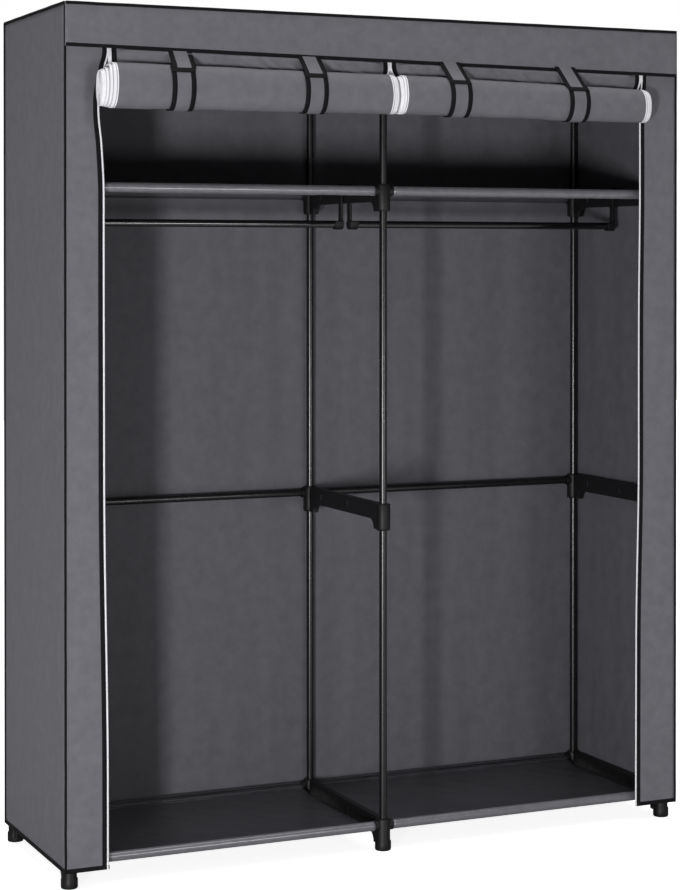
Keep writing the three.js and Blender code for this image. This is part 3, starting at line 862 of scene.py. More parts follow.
COVER_CLOTH = 0.001
PANEL_STEP, FINE_PANEL_STEP = 0.012, 0.006
COVER_EMBOSS, COVER_CLOUD, REVERSE_CLOUD = 0.00016, 0.022, 0.03
EDGE_HOLD = 0.05
COIL_WIDTH = 0.0046
FOLD_DEPTHS = {"back": 0.006, "side": 0.005, "stile": 0.003}
BROAD_FOLDS, FINE_FOLDS, DENTS = (0.075, 0.9), (0.03, 0.5), (0.12, 0.16)
# How far the stiles' free edges lean, and over which heights, or depths below the slider.
LEFT_LEAN, LEFT_LEAN_HEIGHTS = 0.0075, (0.2, 0.8)
LEFT_PARTED, LEFT_PARTED_BELOW = 0.001, (0, 0.02)
LEFT_PULL, LEFT_PULL_HEIGHTS, LEFT_PULL_BELOW = 0.008, (1.36, 1.54), (0, 0.09)
LEFT_PRESSED, LEFT_PRESSED_HEIGHTS, LEFT_PRESSED_BELOW = 0.010, (1.46, 1.53), (0, 0.03)
RIGHT_LOW_LEAN, RIGHT_LOW_HEIGHTS = -0.0065, (0.8, 0.4)
RIGHT_HIGH_LEAN, RIGHT_HIGH_HEIGHTS = 0.002, (1.1, 1.4)
RIGHT_PARTED_BELOW = (0.024, 0.054)
LEAN_BELOW = (0, 0.1)
SWAY, SWAY_LENGTH = {"left": 0.0008, "right": 0.0012}, 0.5

slider_x, _, slider_z = middle_of("zip_slider_right")

grey_cloth = spunbond(
    "grey spunbond non-woven", "#66656b", "#5c5b61", 0.72, COVER_EMBOSS, COVER_CLOUD
)
# The reverse isn't pressed as hard, so it is duller. Its darker colour is painted shade:
# the reverse faces the inside of the wardrobe and stands for the shade in there.
shaded_inside_cloth = spunbond(
    "grey non-woven reverse darkened as painted shade", "#5b5a60", "#515056", 0.8, COVER_EMBOSS, REVERSE_CLOUD
)


def eased(value, limits=(0, 1)):
    """Rises smoothly from 0 at the first limit to 1 at the second."""
    share = min(1.0, max(0.0, (value - limits[0]) / (limits[1] - limits[0])))
    return share * share * (3 - 2 * share)


def stile_edge(side, z):
    """X of a stile's inner edge, which the left roll pulls outwards below the slider."""
    low, high = box(f"front_stile_{side}")
    below = slider_z - z
    free = eased(below, LEAN_BELOW)
    if side == "right":
        closed = COIL_WIDTH * (1 - eased(below, RIGHT_PARTED_BELOW))
        lean = RIGHT_LOW_LEAN * eased(z, RIGHT_LOW_HEIGHTS)
        lean += RIGHT_HIGH_LEAN * eased(z, RIGHT_HIGH_HEIGHTS)
        return low.x + closed + lean + SWAY[side] * ripple(z / SWAY_LENGTH, 7.7, 0) * free
    lean = COIL_WIDTH + LEFT_PARTED * eased(below, LEFT_PARTED_BELOW)
    lean += LEFT_LEAN * eased(z, LEFT_LEAN_HEIGHTS) * free
    pull = LEFT_PULL * eased(below, LEFT_PULL_BELOW) * eased(z, LEFT_PULL_HEIGHTS)
    return high.x - lean - pull + SWAY[side] * ripple(z / SWAY_LENGTH, 2.2, 0) * free


def stile_pressed(z):
    """How far back the end of the left roll presses the stile beside it."""
    beside_roll = eased(z, LEFT_PRESSED_HEIGHTS) * eased(slider_z - z, LEFT_PRESSED_BELOW)
    return LEFT_PRESSED * beside_roll


def panel(
    name,
    stands_for,
    out,
    billow,
    step=PANEL_STEP,
    warp=None,
    pressed=None,
):
    """One panel, flat in its CAD node's box but for its billow, which its seams hold in. It
    may be warped in its own plane, pressed out of it, and longer than the box."""
    low, high = box(stands_for)
    thin = min(range(3), key=lambda axis: (high - low)[axis])
    first, second = [axis for axis in range(3) if axis != thin]
    middle = (low[thin] + high[thin]) / 2
    faces_out = (out > 0) == (thin != 1)

    def point(u, v):
        inset = min(u - low[first], high[first] - u, v - low[second], high[second] - v)
        place = Vector((0, 0, 0))
        place[first], place[second] = warp(u, v) if warp else (u, v)
        place[thin] = middle + out * eased(inset, (0, EDGE_HOLD)) * billow(u, v)
        place[thin] += pressed(u, v) if pressed else 0
        return place

    # Each panel's outside takes the grey cloth and its inside the darker copy, painted shade.
    made = cloth(
        name,
        spaced(low[first], high[first], step),
        spaced(low[second], high[second], step),
        point,
        [grey_cloth, shaded_inside_cloth] if faces_out else [shaded_inside_cloth, grey_cloth],
        COVER_CLOTH,
        [stands_for],
        reverse=1,
    )
    return made


def hanging_folds(seed, depth):
    """Long ridges: far apart and shallow, with finer ones between them."""

    def billow(u, v):
        broad, fine = waves(u, v, BROAD_FOLDS, seed), waves(u, v, FINE_FOLDS, seed + 4)
        return depth * (0.55 * broad + 0.25 * fine + 0.3 * waves(u, v, DENTS, seed + 9))

    return billow


back_folds = hanging_folds(1.5, FOLD_DEPTHS["back"])
panel("cover_back", "back_panel", 1, back_folds)
for side, out in (("left", -1), ("right", 1)):
    folds = hanging_folds(5.5 + out, FOLD_DEPTHS["side"])
    panel(f"cover_side_{side}", f"side_panel_{side}", out, folds)

    def lean(u, v, side=side):
        low, high = box(f"front_stile_{side}")
        sewn, free = (low.x, high.x) if side == "left" else (high.x, low.x)
        return sewn + (u - sewn) * (stile_edge(side, v) - sewn) / (free - sewn), v

    def pressed(u, v, side=side):
        low, high = box(f"front_stile_{side}")
        return stile_pressed(v) * eased(u, ((low.x + high.x) / 2, high.x))

    panel(
        f"cover_stile_{side}",
        f"front_stile_{side}",
        -1,
        hanging_folds(11.5 + out, FOLD_DEPTHS["stile"]),
        step=FINE_PANEL_STEP,
        warp=lean,
        pressed=pressed if side == "left" else None,
    )


# The roof rests on the top rails and the front valance hangs from its front seam to hide
# the tops of the curtains. Both are single pieces of the same grey cloth.

ROOF_SAG, ROOF_DENTS = 0.004, (0.12, 0.12)
ROOF_BAY_MIDDLE = 0.35
VALANCE_BILLOW, VALANCE_WAVES = 0.0022, (0.09, 0.2)
HEM_DROPS = (0.003, 0.0105, 0.0175)
HEM_PUSH = 0.0038
HEM_PUSH_WIDTH = 0.07

valance_low, valance_high = box("front_valance")


def roof_sag(u, v):
    across = 1 - (abs(u) / ROOF_BAY_MIDDLE - 1) ** 2
    return -ROOF_SAG * (0.6 * across + 0.4 * waves(u, v, ROOF_DENTS, 21))


panel("cover_roof", "roof_panel", 1, roof_sag)


def graded(values, turn):
    """The value at a turn, between those given for the whole turns."""
    whole = min(int(turn), len(values) - 2)
    return values[whole] + (values[whole + 1] - values[whole]) * min(1, turn - whole)


def hem_drop(x):
    """How far the valance's hem hangs below a level cut, more towards the right."""
    return graded(HEM_DROPS, max(0, 1 + x / valance_high.x))


def hem_push(x):
    """How far the centre and right sliders, behind the hem, hold it forward."""
    return HEM_PUSH * sum(eased(abs(x - at), (HEM_PUSH_WIDTH, 0)) for at in (0, slider_x))


def pushed_hem(u, v):
    return -hem_push(u) * eased(v, (valance_high.z, valance_low.z))


def hung_hem(u, v):
    return u, v - hem_drop(u) * (valance_high.z - v) / (valance_high.z - valance_low.z)


panel(
    "cover_valance",
    "front_valance",
    -1,
    lambda u, v: VALANCE_BILLOW * waves(u, v, VALANCE_WAVES, 31),
    step=FINE_PANEL_STEP,
    warp=hung_hem,
    pressed=pushed_hem,
)


# Every raw edge and corner seam of the cover is bound in a black woven tape, folded over
# the edge and sewn through.

BINDING_HALF_THICKNESS = 0.0016
BINDING_STEP = 0.02
BINDING_SWAY = 0.0004
ROOF_SEAM_HALF_WIDTH, FRONT_SEAM_HALF_WIDTH, REAR_SEAM_HALF_WIDTH = 0.0032, 0.0023, 0.0028
HEM_HALF_WIDTH, HEM_UP = 0.0045, 0.004
VALANCE_HALF_WIDTH, VALANCE_UP = 0.0036, 0.003
SEAM_DOWN = 0.003
FRONT_SEAM_OUT = 0.0015
HEM_IN = 0.001
SIDE_HEM_SHARE = 0.9993
TAPE_RIB = 0.0016
TAPE_RIB_DEPTH = 0.0002

black_tape, tree, shader = material(
    "black woven binding tape",
    base_color=linear("#0c0c0e"),
    roughness=0.8,
    specular_ior_level=0.15,
)
place = node(tree, "ShaderNodeTexCoord")
# The weft makes ribs across the tape, 0.4 mm apart and drawn at 1.6 mm so that they show.
rib = node(
    tree,
    "ShaderNodeTexWave",
    {"bands_direction": "Y", "Scale": 0.314 / TAPE_RIB, "Distortion": 0.4},
    {"Vector": place.outputs["UV"]},
)
bump = node(
    tree,
    "ShaderNodeBump",
    {"Strength": 0.5, "Distance": TAPE_RIB_DEPTH},
    {"Height": rib.outputs["Fac"]},
)
tree.links.new(bump.outputs["Normal"], shader.inputs["Normal"])
tone = node(
    tree,
    "ShaderNodeMix",
    {"data_type": "RGBA", 6: linear("#09090b"), 7: linear("#131316")},
    {0: rib.outputs["Fac"]},
)
tree.links.new(tone.outputs[2], shader.inputs["Base Color"])


def soft_oblong(half_width, half_thickness, count=16, square=0.5):
    """A flat section with rounded edges, as width and thickness."""
    section = []
    for i in range(count):
        c, s = math.cos(math.tau * i / count), math.sin(math.tau * i / count)
        across = math.copysign(abs(c) ** square, c) * half_width
        section.append((across, math.copysign(abs(s) ** square, s) * half_thickness))
    return section


def run_along(name, route, width_way, section):
    """A closed strip along a route. width_way is the direction of the section's width."""
    route = [Vector(point) for point in route]
    width_way = Vector(width_way)
    rows = []
    for before, point, after in zip(route[:1] + route, route, route[1:] + route[-1:]):
        ahead = (after - before).normalized()
        wide = (width_way - ahead * ahead.dot(width_way)).normalized()
        thick = wide.cross(ahead)
        rows.append([point + wide * a + thick * b for a, b in section])
    around = lengths(section + section[:1])
    return lattice(name, rows, around, lengths(route), wrap=True, capped=True, crease=60)


def bind(edge, start, stop, half_width, width_way=(0, 0, 1), drop=None, push=None):
    """Binding along a straight edge. It wavers a little, as sewn tape does, and an edge
    that isn't level is lowered by drop and held forward by push."""
    name = f"binding_{edge}"
    start, stop = Vector(start), Vector(stop)
    steps = max(2, round((stop - start).length / BINDING_STEP))
    route = []
    for i in range(steps + 1):
        point = start.lerp(stop, i / steps)
        point.z -= drop(point.x) if drop else 0
        point.y -= push(point.x) if push else 0
        sway = BINDING_SWAY * ripple(i * 0.37, len(name), 0)
        route.append(point + Vector(width_way) * sway)
    mesh = run_along(name, route, width_way, soft_oblong(half_width, BINDING_HALF_THICKNESS))
    return fit(name, mesh, "root", [black_tape])


roof_high = box("roof_panel")[1]
half = roof_high.x - BINDING_HALF_THICKNESS
seam_z = roof_high.z - SEAM_DOWN
front_y, rear_y = stile_low.y, roof_high.y
cut_z = stile_low.z
hem_z = cut_z + HEM_UP
for edge, y, z, half_width in (
    ("roof_front", valance_low.y, seam_z, ROOF_SEAM_HALF_WIDTH),
    ("roof_rear", rear_y, seam_z, ROOF_SEAM_HALF_WIDTH),
    ("back_hem", rear_y - HEM_IN, hem_z, HEM_HALF_WIDTH),
):
    bind(edge, (-half, y, z), (half, y, z), half_width)
y, z = valance_low.y + HEM_IN, valance_low.z + VALANCE_UP
ends = (-half, y, z), (half, y, z)
bind("valance_hem", *ends, VALANCE_HALF_WIDTH, drop=hem_drop, push=hem_push)
for side, sign in (("left", -1), ("right", 1)):
    x, inner = sign * roof_high.x, sign * abs(stile_high.x)
    seam_x, hem_x = x + FRONT_SEAM_OUT, x * SIDE_HEM_SHARE
    y = front_y + HEM_IN
    foot, head = (seam_x, front_y, cut_z), (seam_x, front_y, seam_z)
    for edge, start, stop, half_width, width_way in (
        ("roof", (x, front_y, seam_z), (x, rear_y, seam_z), ROOF_SEAM_HALF_WIDTH, "Z"),
        ("front_corner", foot, head, FRONT_SEAM_HALF_WIDTH, "X"),
        ("rear_corner", (x, rear_y, cut_z), (x, rear_y, seam_z), REAR_SEAM_HALF_WIDTH, "Y"),
        ("side_hem", (hem_x, front_y, hem_z), (hem_x, rear_y, hem_z), HEM_HALF_WIDTH, "Z"),
        ("stile_hem", (x, y, hem_z), (inner, y, hem_z), HEM_HALF_WIDTH, "Z"),
    ):
        width_way = [float(letter == width_way) for letter in "XYZ"]
        bind(f"{edge}_{side}", start, stop, half_width, width_way)


# The zips: white nylon coil sewn to black tape. One half edges each stile, and the other
# half edges the curtain, so the two stand apart below the slider.

ZIP_TAPE = 0.009
ZIP_TAPE_THICKNESS = 0.0008
COIL_HALF_HEIGHT = 0.0011
COIL_PITCH = 0.0026
TOOTH_STEPS = 4
TOOTH_SWELL = 0.22
SOILED_PER_METRE = 60
ZIP_TOP = 0.03
ZIP_STEP = 0.01

# Drawn nylon thread is milky and shines softly, and handling leaves its white uneven.
white_coil, tree, shader = material(
    "white nylon zip coil", base_color=linear("#dedde2"), roughness=0.4, ior=1.53
)
place = node(tree, "ShaderNodeTexCoord")
soil = node(
    tree, "ShaderNodeTexNoise", {"Scale": SOILED_PER_METRE}, {"Vector": place.outputs["Object"]}
)
tone = node(
    tree,
    "ShaderNodeMix",
    {"data_type": "RGBA", 6: linear("#e0dfe4"), 7: linear("#f2f1f5")},
    {0: soil.outputs["Fac"]},
)
tree.links.new(tone.outputs[2], shader.inputs["Base Color"])


def coil_mesh(name, route, width_way):
    """Half a coil zip: a strip whose section swells and pinches once for each tooth."""
    fine = []
    for before, after in zip(route, route[1:]):
        before, after = Vector(before), Vector(after)
        steps = max(1, round((after - before).length / (COIL_PITCH / TOOTH_STEPS)))
        fine += [before.lerp(after, i / steps) for i in range(steps)]
    fine.append(Vector(route[-1]))
    section = soft_oblong(COIL_WIDTH / 2, COIL_HALF_HEIGHT, 10, 0.8)
    mesh = run_along(name, fine, width_way, section)
    count = len(section)
    for i, point in enumerate(fine):
        swell = 1 - TOOTH_SWELL + TOOTH_SWELL * math.sin(math.tau * i / TOOTH_STEPS)
        for corner in mesh.vertices[i * count : (i + 1) * count]:
            corner.co = point + (corner.co - point) * swell
    return mesh


edge_y = stile_low.y - ZIP_TAPE_THICKNESS / 2
for side, sign in (("left", -1), ("right", 1)):
    tape_route, coil_route = [], []
    for z in spaced(cut_z, slider_z + ZIP_TOP, ZIP_STEP):
        x, y = stile_edge(side, z), edge_y + (stile_pressed(z) if side == "left" else 0)
        tape_route.append((x + sign * ZIP_TAPE / 2, y, z))
        coil_route.append((x - sign * COIL_WIDTH / 2, y, z))
    name = f"stile_zip_tape_{side}"
    mesh = run_along(name, tape_route, (1, 0, 0), soft_oblong(ZIP_TAPE / 2, ZIP_TAPE_THICKNESS, 12))
    fit(name, mesh, "root", [black_tape])
    name = f"stile_zip_coil_{side}"
    fit(name, coil_mesh(name, coil_route, (1, 0, 0)), "root", [white_coil])


# The rolled curtains: each is one long sheet wound from its hem upwards, so it shows a
# spiral at its ends, where the turns have slid out one past the next. The white tape
# of its zip edge makes a pale ring on every turn.

ROLL_TURNS = 12
ROLL_TURN_STEPS = 36
ROLL_JOIN_ANGLE = 40
ROLL_CLOTH = 0.0011
ROLL_HEIGHTS = {"left": 0.092, "right": 0.074}
ROLL_STEP = 0.012
ROLL_SPARE_TURNS = 0.8
ROLL_GIVE, ROLL_WAVE = 0.0014, 0.09
ROLL_FINE_GIVE, ROLL_FINE_WAVE = 0.0006, 0.03
ROLL_SHRUNK = 0.001
EDGE_TAPE = 0.0085
TURN_SHADE_SHARES, TURN_SHADE_EMBOSS, TURN_SHADE_CLOUD = (0.5, 0.75), 0.00012, 0.004
TURN_DROP_SHARE = 0.55
ROLL_TILT = 0.007
# For each end: how far each turn from the outermost in has slid out, and its share of
# the full size. Further in, the turns slide no more and shrink evenly.
TURN_SLIDES = {
    "left outer": (0, 0.0078, 0.0150, 0.0210, 0.0260),
    "left inner": (0, 0.0062, 0.009),
    "right inner": (0, 0.0062, 0.0102),
    "right outer": (0, 0.0062, 0.0095),
}
TURN_SIZES = {
    "left outer": (1, 0.965, 0.85, 0.805, 0.77, 0.735),
    "left inner": (1, 0.965, 0.94, 0.92, 0.9, 0.87),
    "right inner": (1, 0.965, 0.935, 0.91, 0.89, 0.86),
    "right outer": (1, 0.96, 0.94, 0.92, 0.9, 0.87),
}

# The cover's own cloth, rubbed a little smoother by rolling.
curtain_cloth = spunbond(
    "curtain non-woven", "#66656b", "#5c5b61", 0.7, COVER_EMBOSS, COVER_CLOUD
)
# A grey band within each turn's white tape, painted shade that stands for the thin
# shadow line between one turn and the next. The row of stitches that holds the coil, drawn
# as one line because a stitch is too small.
turn_shade_band = spunbond(
    "seam of the white zip tape", "#b9b8be", "#a5a4aa", 0.6, TURN_SHADE_EMBOSS, TURN_SHADE_CLOUD
)

roll_low, roll_high = box("curtain_roll_left")
roll_ends = {side: [corner.x for corner in box(f"curtain_roll_{side}")] for side in ("left", "right")}
roll_y = (roll_low.y + roll_high.y) / 2
roll_half_depth = (roll_high.y - roll_low.y) / 2
roll_z = roll_high.z - ROLL_HEIGHTS["left"] / 2


def turn_size(sizes, turn):
    """A turn's share of the full size, which shrinks evenly after those that are given."""
    spare = ROLL_TURNS + ROLL_SPARE_TURNS
    given = len(sizes) - 1
    return graded(sizes, min(turn, given)) * min(1, (spare - turn) / (spare - given))


def roll_half_height(x):
    start, stop = roll_ends["left"][0], roll_ends["right"][1]
    share = (x - start) / (stop - start)
    return (ROLL_HEIGHTS["left"] * (1 - share) + ROLL_HEIGHTS["right"] * share) / 2


def roll_middle(x):
    """Height of the roll's middle, which sinks towards the right end."""
    return roll_z - ROLL_TILT * eased(x / roll_ends["right"][1])


def roll_point(x, turn, size=None, drop_size=1.0):
    """A point of the sheet that many turns in, where the turn has that share of the size."""
    angle = math.radians(ROLL_JOIN_ANGLE + 360 * turn)
    around = (1.3 * math.cos(angle), 1.3 * math.sin(angle))
    give = ROLL_GIVE * ripple(x / ROLL_WAVE, *around) - ROLL_SHRUNK
    give += ROLL_FINE_GIVE * ripple(x / ROLL_FINE_WAVE, *around)
    size = turn_size(TURN_SIZES["left inner"], turn) if size is None else size
    half = roll_half_height(x)
    depth = (roll_half_depth + give) * size
    height = (half + give) * size
    drop = TURN_DROP_SHARE * half * (1 - drop_size)
    z = roll_middle(x) - drop + height * math.sin(angle)
    return Vector((x, roll_y + depth * math.cos(angle), z))


turns = [i / ROLL_TURN_STEPS for i in range(ROLL_TURNS * ROLL_TURN_STEPS + 1)]
# From where to where, measured outwards from the middle, each roll's outermost turn runs.
tied = {}
for side, sign in (("left", -1), ("right", 1)):
    inner, outer = sorted(abs(x) for x in roll_ends[side])
    wound = lengths([roll_point(sign * (inner + outer) / 2, turn) for turn in turns])
    turn_at = dict(zip(wound, turns))
    start = inner + TURN_SLIDES[f"{side} inner"][-1]
    stop = outer - TURN_SLIDES[f"{side} outer"][-1]
    tied[side] = start, stop
    width = stop - start
    edges = [EDGE_TAPE * share for share in (0, 0.25, 0.5, 0.75, 1)]
    us = edges + spaced(EDGE_TAPE, width - EDGE_TAPE, ROLL_STEP)[1:-1]
    us += [width - edge for edge in reversed(edges)]

    def rolled(u, v, side=side, sign=sign, start=start, width=width, turn_at=turn_at):
        turn = turn_at[v]
        share = u / width
        mixed = {"inner": 1 - share, "outer": share}
        slides = {end: graded(TURN_SLIDES[f"{side} {end}"], turn) for end in mixed}
        sizes = {end: TURN_SIZES[f"{side} {end}"] for end in mixed}
        x = start + u + share * slides["outer"] - (1 - share) * slides["inner"]
        size = sum(part * turn_size(sizes[end], turn) for end, part in mixed.items())
        loose = min(turn, len(TURN_SLIDES[f"{side} outer"]) - 1)
        drop_size = sum(part * turn_size(sizes[end], loose) for end, part in mixed.items())
        return roll_point(sign * x, turn, size, drop_size)

    # The tape at each edge is white, with a grey band of painted shade inside it.
    def edge_tape(u, v, width=width):
        inward = min(u, width - u) / EDGE_TAPE
        if inward > 1:
            return 0
        return 2 if TURN_SHADE_SHARES[0] < inward < TURN_SHADE_SHARES[1] else 1

    roll = cloth(
        f"curtain_wound_{side}",
        us,
        wound,
        rolled,
        [curtain_cloth, white_coil, turn_shade_band],
        ROLL_CLOTH,
        [f"curtain_roll_{side}"],
        body=f"{side}_curtain",
        finish_at=edge_tape,
    )
    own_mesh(roll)


# The top of each curtain, between its seam behind the valance and the roll. Hauled up by
# hand, it bunches into soft horizontal crumples just under the hem.

HEADER_STEP = 0.004
HEADER_ROW_STEP = 0.0025
HEADER_DROP = 0.125
HEADER_EDGE_COIL = 0.004
HEADER_EDGE_TAPE = 0.010
HEADER_BEND_BELOW = 0.006
BULGE = 0.0125
BULGE_BELOW_HEM = (0, 0.005)
BULGE_FROM_ZIP = (0.012, 0.042)
SLACK_WAVE = 0.12
CRUMPLE = 0.0034
CRUMPLE_ENDS = (0, 0.01)
FOLD_WAVE, FOLD_HEIGHT, FOLD_SLOPE = 0.1, 0.012, 0.15
CREASE_SIZE = (0.016, 0.05)
CREASE_FROM_CENTRE, CREASE_TO_OUTSIDE = (0.03, 0.08), (0.5, 0.3)

header_high = box("curtain_header_left")[1]
header_y = header_high.y - COVER_CLOTH


def header_route(x):
    """Side view of the header at x: down behind the valance, then over to the roll."""
    angle = math.radians(ROLL_JOIN_ANGLE)
    end_y = roll_y + roll_half_depth * math.cos(angle)
    end_z = roll_middle(x) + roll_half_height(x) * math.sin(angle)
    bend = (header_y, valance_low.z - HEADER_BEND_BELOW)
    return [(header_y, header_high.z), bend, (end_y, end_z)]


for side, sign in (("left", -1), ("right", 1)):
    inner, outer = sorted(abs(corner.x) for corner in box(f"curtain_header_{side}"))
    width = outer - inner
    edges = [0, HEADER_EDGE_COIL, HEADER_EDGE_COIL + HEADER_EDGE_TAPE]
    us = edges + spaced(edges[-1], width - edges[-1], HEADER_STEP)[1:-1]
    us += [width - edge for edge in reversed(edges)]

    def crumpled(u, v, sign=sign, inner=inner, outer=outer, tied=tied[side]):
        x = sign * (inner + u)
        (y, z), bend, end = header_route(x)
        upper, lower = math.dist((y, z), bend), math.dist(bend, end)
        gone = v / HEADER_DROP * (upper + lower)
        if gone < upper:
            z -= gone
        else:
            y, z = (a + (b - a) * (gone - upper) / lower for a, b in zip(bend, end))
        across = u / (outer - inner)
        hem = valance_low.z - hem_drop(x)
        free = eased(hem - z, BULGE_BELOW_HEM) * eased(min(u, outer - inner - u), BULGE_FROM_ZIP)
        slack = 1 + 0.4 * ripple(x / SLACK_WAVE, 3.3, sign)
        bulge = BULGE * slack * min(1, max(0, (z - end[1]) / (hem - end[1]))) ** 0.8
        fold = ripple(x / FOLD_WAVE, z / FOLD_HEIGHT + x / FOLD_SLOPE, sign * 3)
        creased = eased(abs(x), CREASE_FROM_CENTRE) * eased(abs(x), CREASE_TO_OUTSIDE)
        fold += 2 * creased * waves(x + z, z, CREASE_SIZE, 8)
        crumple = CRUMPLE * max(-0.4, fold) * eased(HEADER_DROP - v, CRUMPLE_ENDS)
        # Below the sliders its edges run over to the ends of the roll.
        low = eased(z, (slider_z, end[1])) ** 2
        over = (1 - across) ** 8 * (tied[0] * low - inner)
        over += across**8 * (tied[1] * low + slider_x * (1 - low) - outer)
        return (x + sign * over, y - free * (bulge + crumple), z)

    def header_finish(u, v, width=width):
        edge = min(u, width - u)
        if edge < HEADER_EDGE_COIL:
            return 2
        return 1 if edge < HEADER_EDGE_COIL + HEADER_EDGE_TAPE else 0

    header = cloth(
        f"curtain_top_{side}",
        us,
        spaced(0, HEADER_DROP, HEADER_ROW_STEP),
        crumpled,
        [curtain_cloth, black_tape, white_coil],
        COVER_CLOTH,
        [f"curtain_header_{side}"],
        body=None,
        finish_at=header_finish,
    )
    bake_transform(header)


# The straps that hold the rolls: bands of the cover's cloth, bound along both edges, from
# under the valance down behind the roll, round its front and up, where a short tab comes
# down over the end.

STRAP_STEP = 0.004
STRAP_ROW_STEP = 0.01
STRAP_CLOTH = 0.0014
STRAP_TOP_DOWN = 0.001
STRAP_BOUND = 0.010
BAND_OFF, BAND_START, BAND_END, BAND_STEPS = 0.0014, 330, 115, 40
BAND_BEHIND = 0.0008
TAB_OFF, TAB_START, TAB_END, TAB_STEPS = 0.0028, 122, 143, 10
TAB_BEHIND, TAB_BELOW_HEM = 0.001, 0.003
TAB_SKEW, TAB_SKEW_LENGTH = 0.02, 0.03


def round_roll(x, off, start, stop, steps):
    """Side view of an arc that stands off the roll, with angles in degrees."""
    arc_route = []
    for i in range(steps + 1):
        a = math.radians(start + (stop - start) * i / steps)
        y = roll_y + (roll_half_depth + off) * math.cos(a)
        arc_route.append((y, roll_middle(x) + (roll_half_height(x) + off) * math.sin(a)))
    return arc_route


def band_route(x, top_z):
    low = roll_middle(x) - roll_half_depth / 2
    down = [(stile_low.y + BAND_BEHIND, z) for z in spaced(top_z, low, STRAP_ROW_STEP)]
    return down + round_roll(x, BAND_OFF, BAND_START, BAND_END, BAND_STEPS)


def tab_route(x, top_z):
    low = valance_low.z - TAB_BELOW_HEM
    down = [(valance_high.y + TAB_BEHIND, z) for z in spaced(top_z, low, STRAP_ROW_STEP)]
    return down + round_roll(x, TAB_OFF, TAB_START, TAB_END, TAB_STEPS)


for side in ("left", "right"):
    for number in (1, 2):
        stands_for = f"strap_{side}_{number}"
        low, high = box(stands_for)
        middle_x = (low.x + high.x) / 2
        for part, part_route in (("band", band_route), ("tab", tab_route)):
            route = part_route(middle_x, high.z - STRAP_TOP_DOWN)
            reach = lengths(route)
            at, last = dict(zip(reach, route)), reach[-1]
            skew = -TAB_SKEW * middle_x if part == "tab" else 0

            def strap_point(u, v, at=at, skew=skew, last=last):
                return (u + skew * eased(last - v, (0, TAB_SKEW_LENGTH)), *at[v])

            def strap_finish(u, v, low=low, high=high, part=part, last=last):
                bound = min(u - low.x, high.x - u) < STRAP_BOUND
                end = part == "tab" and last - v < STRAP_BOUND
                return 1 if bound or end else 0

            us = [low.x, low.x + STRAP_BOUND / 2]
            us += spaced(low.x + STRAP_BOUND, high.x - STRAP_BOUND, STRAP_STEP)
            us += [high.x - STRAP_BOUND / 2, high.x]
            strap = cloth(
                f"strap_{part}_{side}_{number}",
                us,
                reach,
                strap_point,
                [curtain_cloth, black_tape],
                STRAP_CLOTH,
                [stands_for],
                finish_at=strap_finish,
            )
            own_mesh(strap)


# The zip sliders and pulls, moulded white nylon. A slider is a wedge-shaped body with a
# bridge over it, and the pull hangs from the bridge by the bar at the top of its window.

SLIDER_DEPTH = 0.0034
SLIDER_EDGE = 0.0003
SLIDER_CORE = 0.62
SLIDER_NARROW = 0.75
WING = 0.0010
BRIDGE_WIDTH, BRIDGE_HEIGHT, BRIDGE_BAR = 0.002, 0.010, 0.0012
PULL_EDGE = 0.0003
PULL_CORNER = 0.0012
PULL_BAR, PULL_SIDE_BAR, PULL_WINDOW = 0.0012, 0.0015, 0.0096
PULL_HOLE = 0.0014
TOUCHED_PER_METRE = 300
TOUCH_DEPTH = 0.00004

# Moulded nylon has a soft gloss, broken by faint dents a few millimetres apart.
white_nylon, tree, shader = material(
    "white moulded nylon", base_color=linear("#e6e5e9"), roughness=0.32, ior=1.53
)
place = node(tree, "ShaderNodeTexCoord")
touch = node(
    tree, "ShaderNodeTexNoise", {"Scale": TOUCHED_PER_METRE}, {"Vector": place.outputs["Object"]}
)
bump = node(
    tree,
    "ShaderNodeBump",
    {"Strength": 0.3, "Distance": TOUCH_DEPTH},
    {"Height": touch.outputs["Fac"]},
)
tree.links.new(bump.outputs["Normal"], shader.inputs["Normal"])


def facing(mesh, x, y, z):
    """Turns a plate drawn in side view to face the front, and moves it to its place."""
    mesh.transform(Matrix(((0, 1, 0, x), (-1, 0, 0, y), (0, 0, 1, z), (0, 0, 0, 1))))
    return mesh


def shield(half_width, half_height, narrow):
    """A rounded oblong, narrower at its foot."""
    outline = []
    for across, up in soft_oblong(half_width, half_height, 28, 0.55):
        footward = (1 - up / half_height) / 2
        outline.append((across * (1 + (narrow - 1) * footward), up))
    return outline


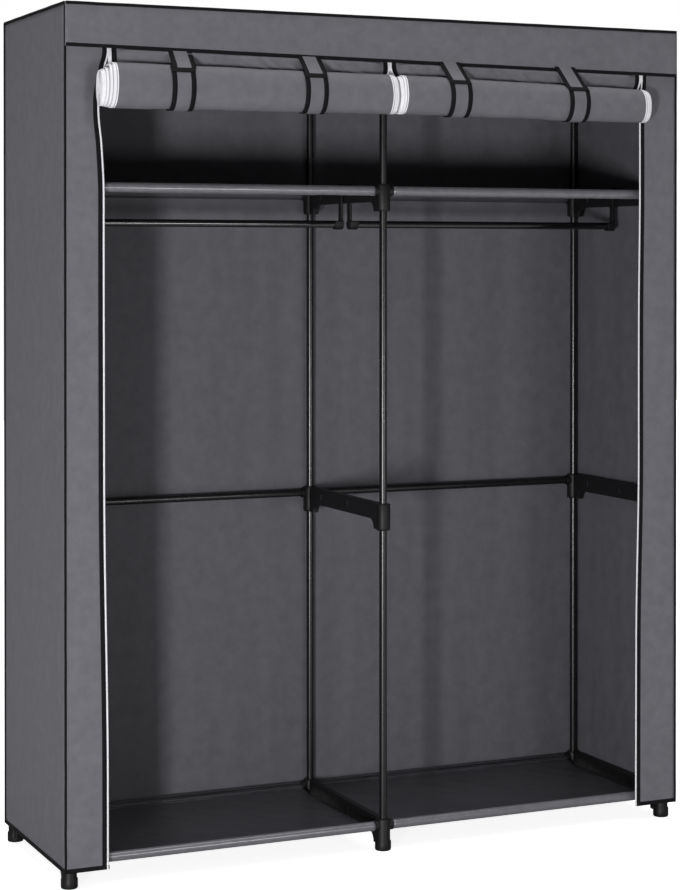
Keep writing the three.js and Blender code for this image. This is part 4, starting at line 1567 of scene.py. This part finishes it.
def slider_mesh(name, stands_for):
    low, high = box(stands_for)
    x, z = (low.x + high.x) / 2, (low.z + high.z) / 2
    half_width, half_height = (high.x - low.x) / 2, (high.z - low.z) / 2
    face = high.y - SLIDER_DEPTH
    solids = []
    for near, far, share in (
        (face, face + WING, 1),
        (face + WING / 2, high.y - WING / 2, SLIDER_CORE),
        (high.y - WING, high.y, 1),
    ):
        outline = shield(half_width * share, half_height * share, SLIDER_NARROW)
        half = (far - near) / 2
        wing = moulded_plate(name, [outline], half, SLIDER_EDGE, 0)
        solids.append(facing(wing, x, near + half, z))
    stand_y = face + WING / 2
    bridge = []
    for bar in (0, BRIDGE_BAR):
        deep, tall = face - low.y - bar, BRIDGE_HEIGHT / 2 - bar
        half_round = arc((0, 0), 1, -90, 90, 12)
        bridge.append([(stand_y - out * deep, z + up * tall) for out, up in half_round])
    solids.append(moulded_plate(name, bridge, BRIDGE_WIDTH / 2, SLIDER_EDGE, x))
    return fused(name, solids)


def pull_mesh(name, stands_for):
    low, high = box(stands_for)
    x, y = (low.x + high.x) / 2, (low.y + high.y) / 2
    half, foot = (high.x - low.x) / 2, low.z + (high.x - low.x) / 2
    corner = PULL_CORNER
    outline = arc((half - corner, high.z - corner), corner, 0, 90, 5)
    outline += arc((corner - half, high.z - corner), corner, 90, 180, 5)
    outline += arc((0, foot), half, 180, 360, 20)
    window = []
    top, bottom = high.z - PULL_BAR, high.z - PULL_WINDOW
    inside, turn = half - PULL_SIDE_BAR, PULL_CORNER / 2
    for side, up, start in ((1, top, 0), (-1, top, 90), (-1, bottom, 180), (1, bottom, 270)):
        inward = turn if up == bottom else -turn
        window += arc((side * (inside - turn), up + inward), turn, start, start + 90, 4)
    hole = arc((0, foot), PULL_HOLE, 0, 342, 19)
    half_thick = (high.y - low.y) / 2
    plate = moulded_plate(name, [outline, window, hole], half_thick, PULL_EDGE, 0)
    return fused(name, [facing(plate, x, y, 0)])


for place_name in ("left", "centre", "right"):
    for part, shape in (("slider", slider_mesh), ("pull", pull_mesh)):
        stands_for = f"zip_{part}_{place_name}"
        name = f"moulded_{part}_{place_name}"
        mesh = shape(name, stands_for)
        body = f"{place_name}_{'zip' if part == 'slider' else 'pull'}"
        fit(name, mesh, body, [white_nylon], [stands_for])
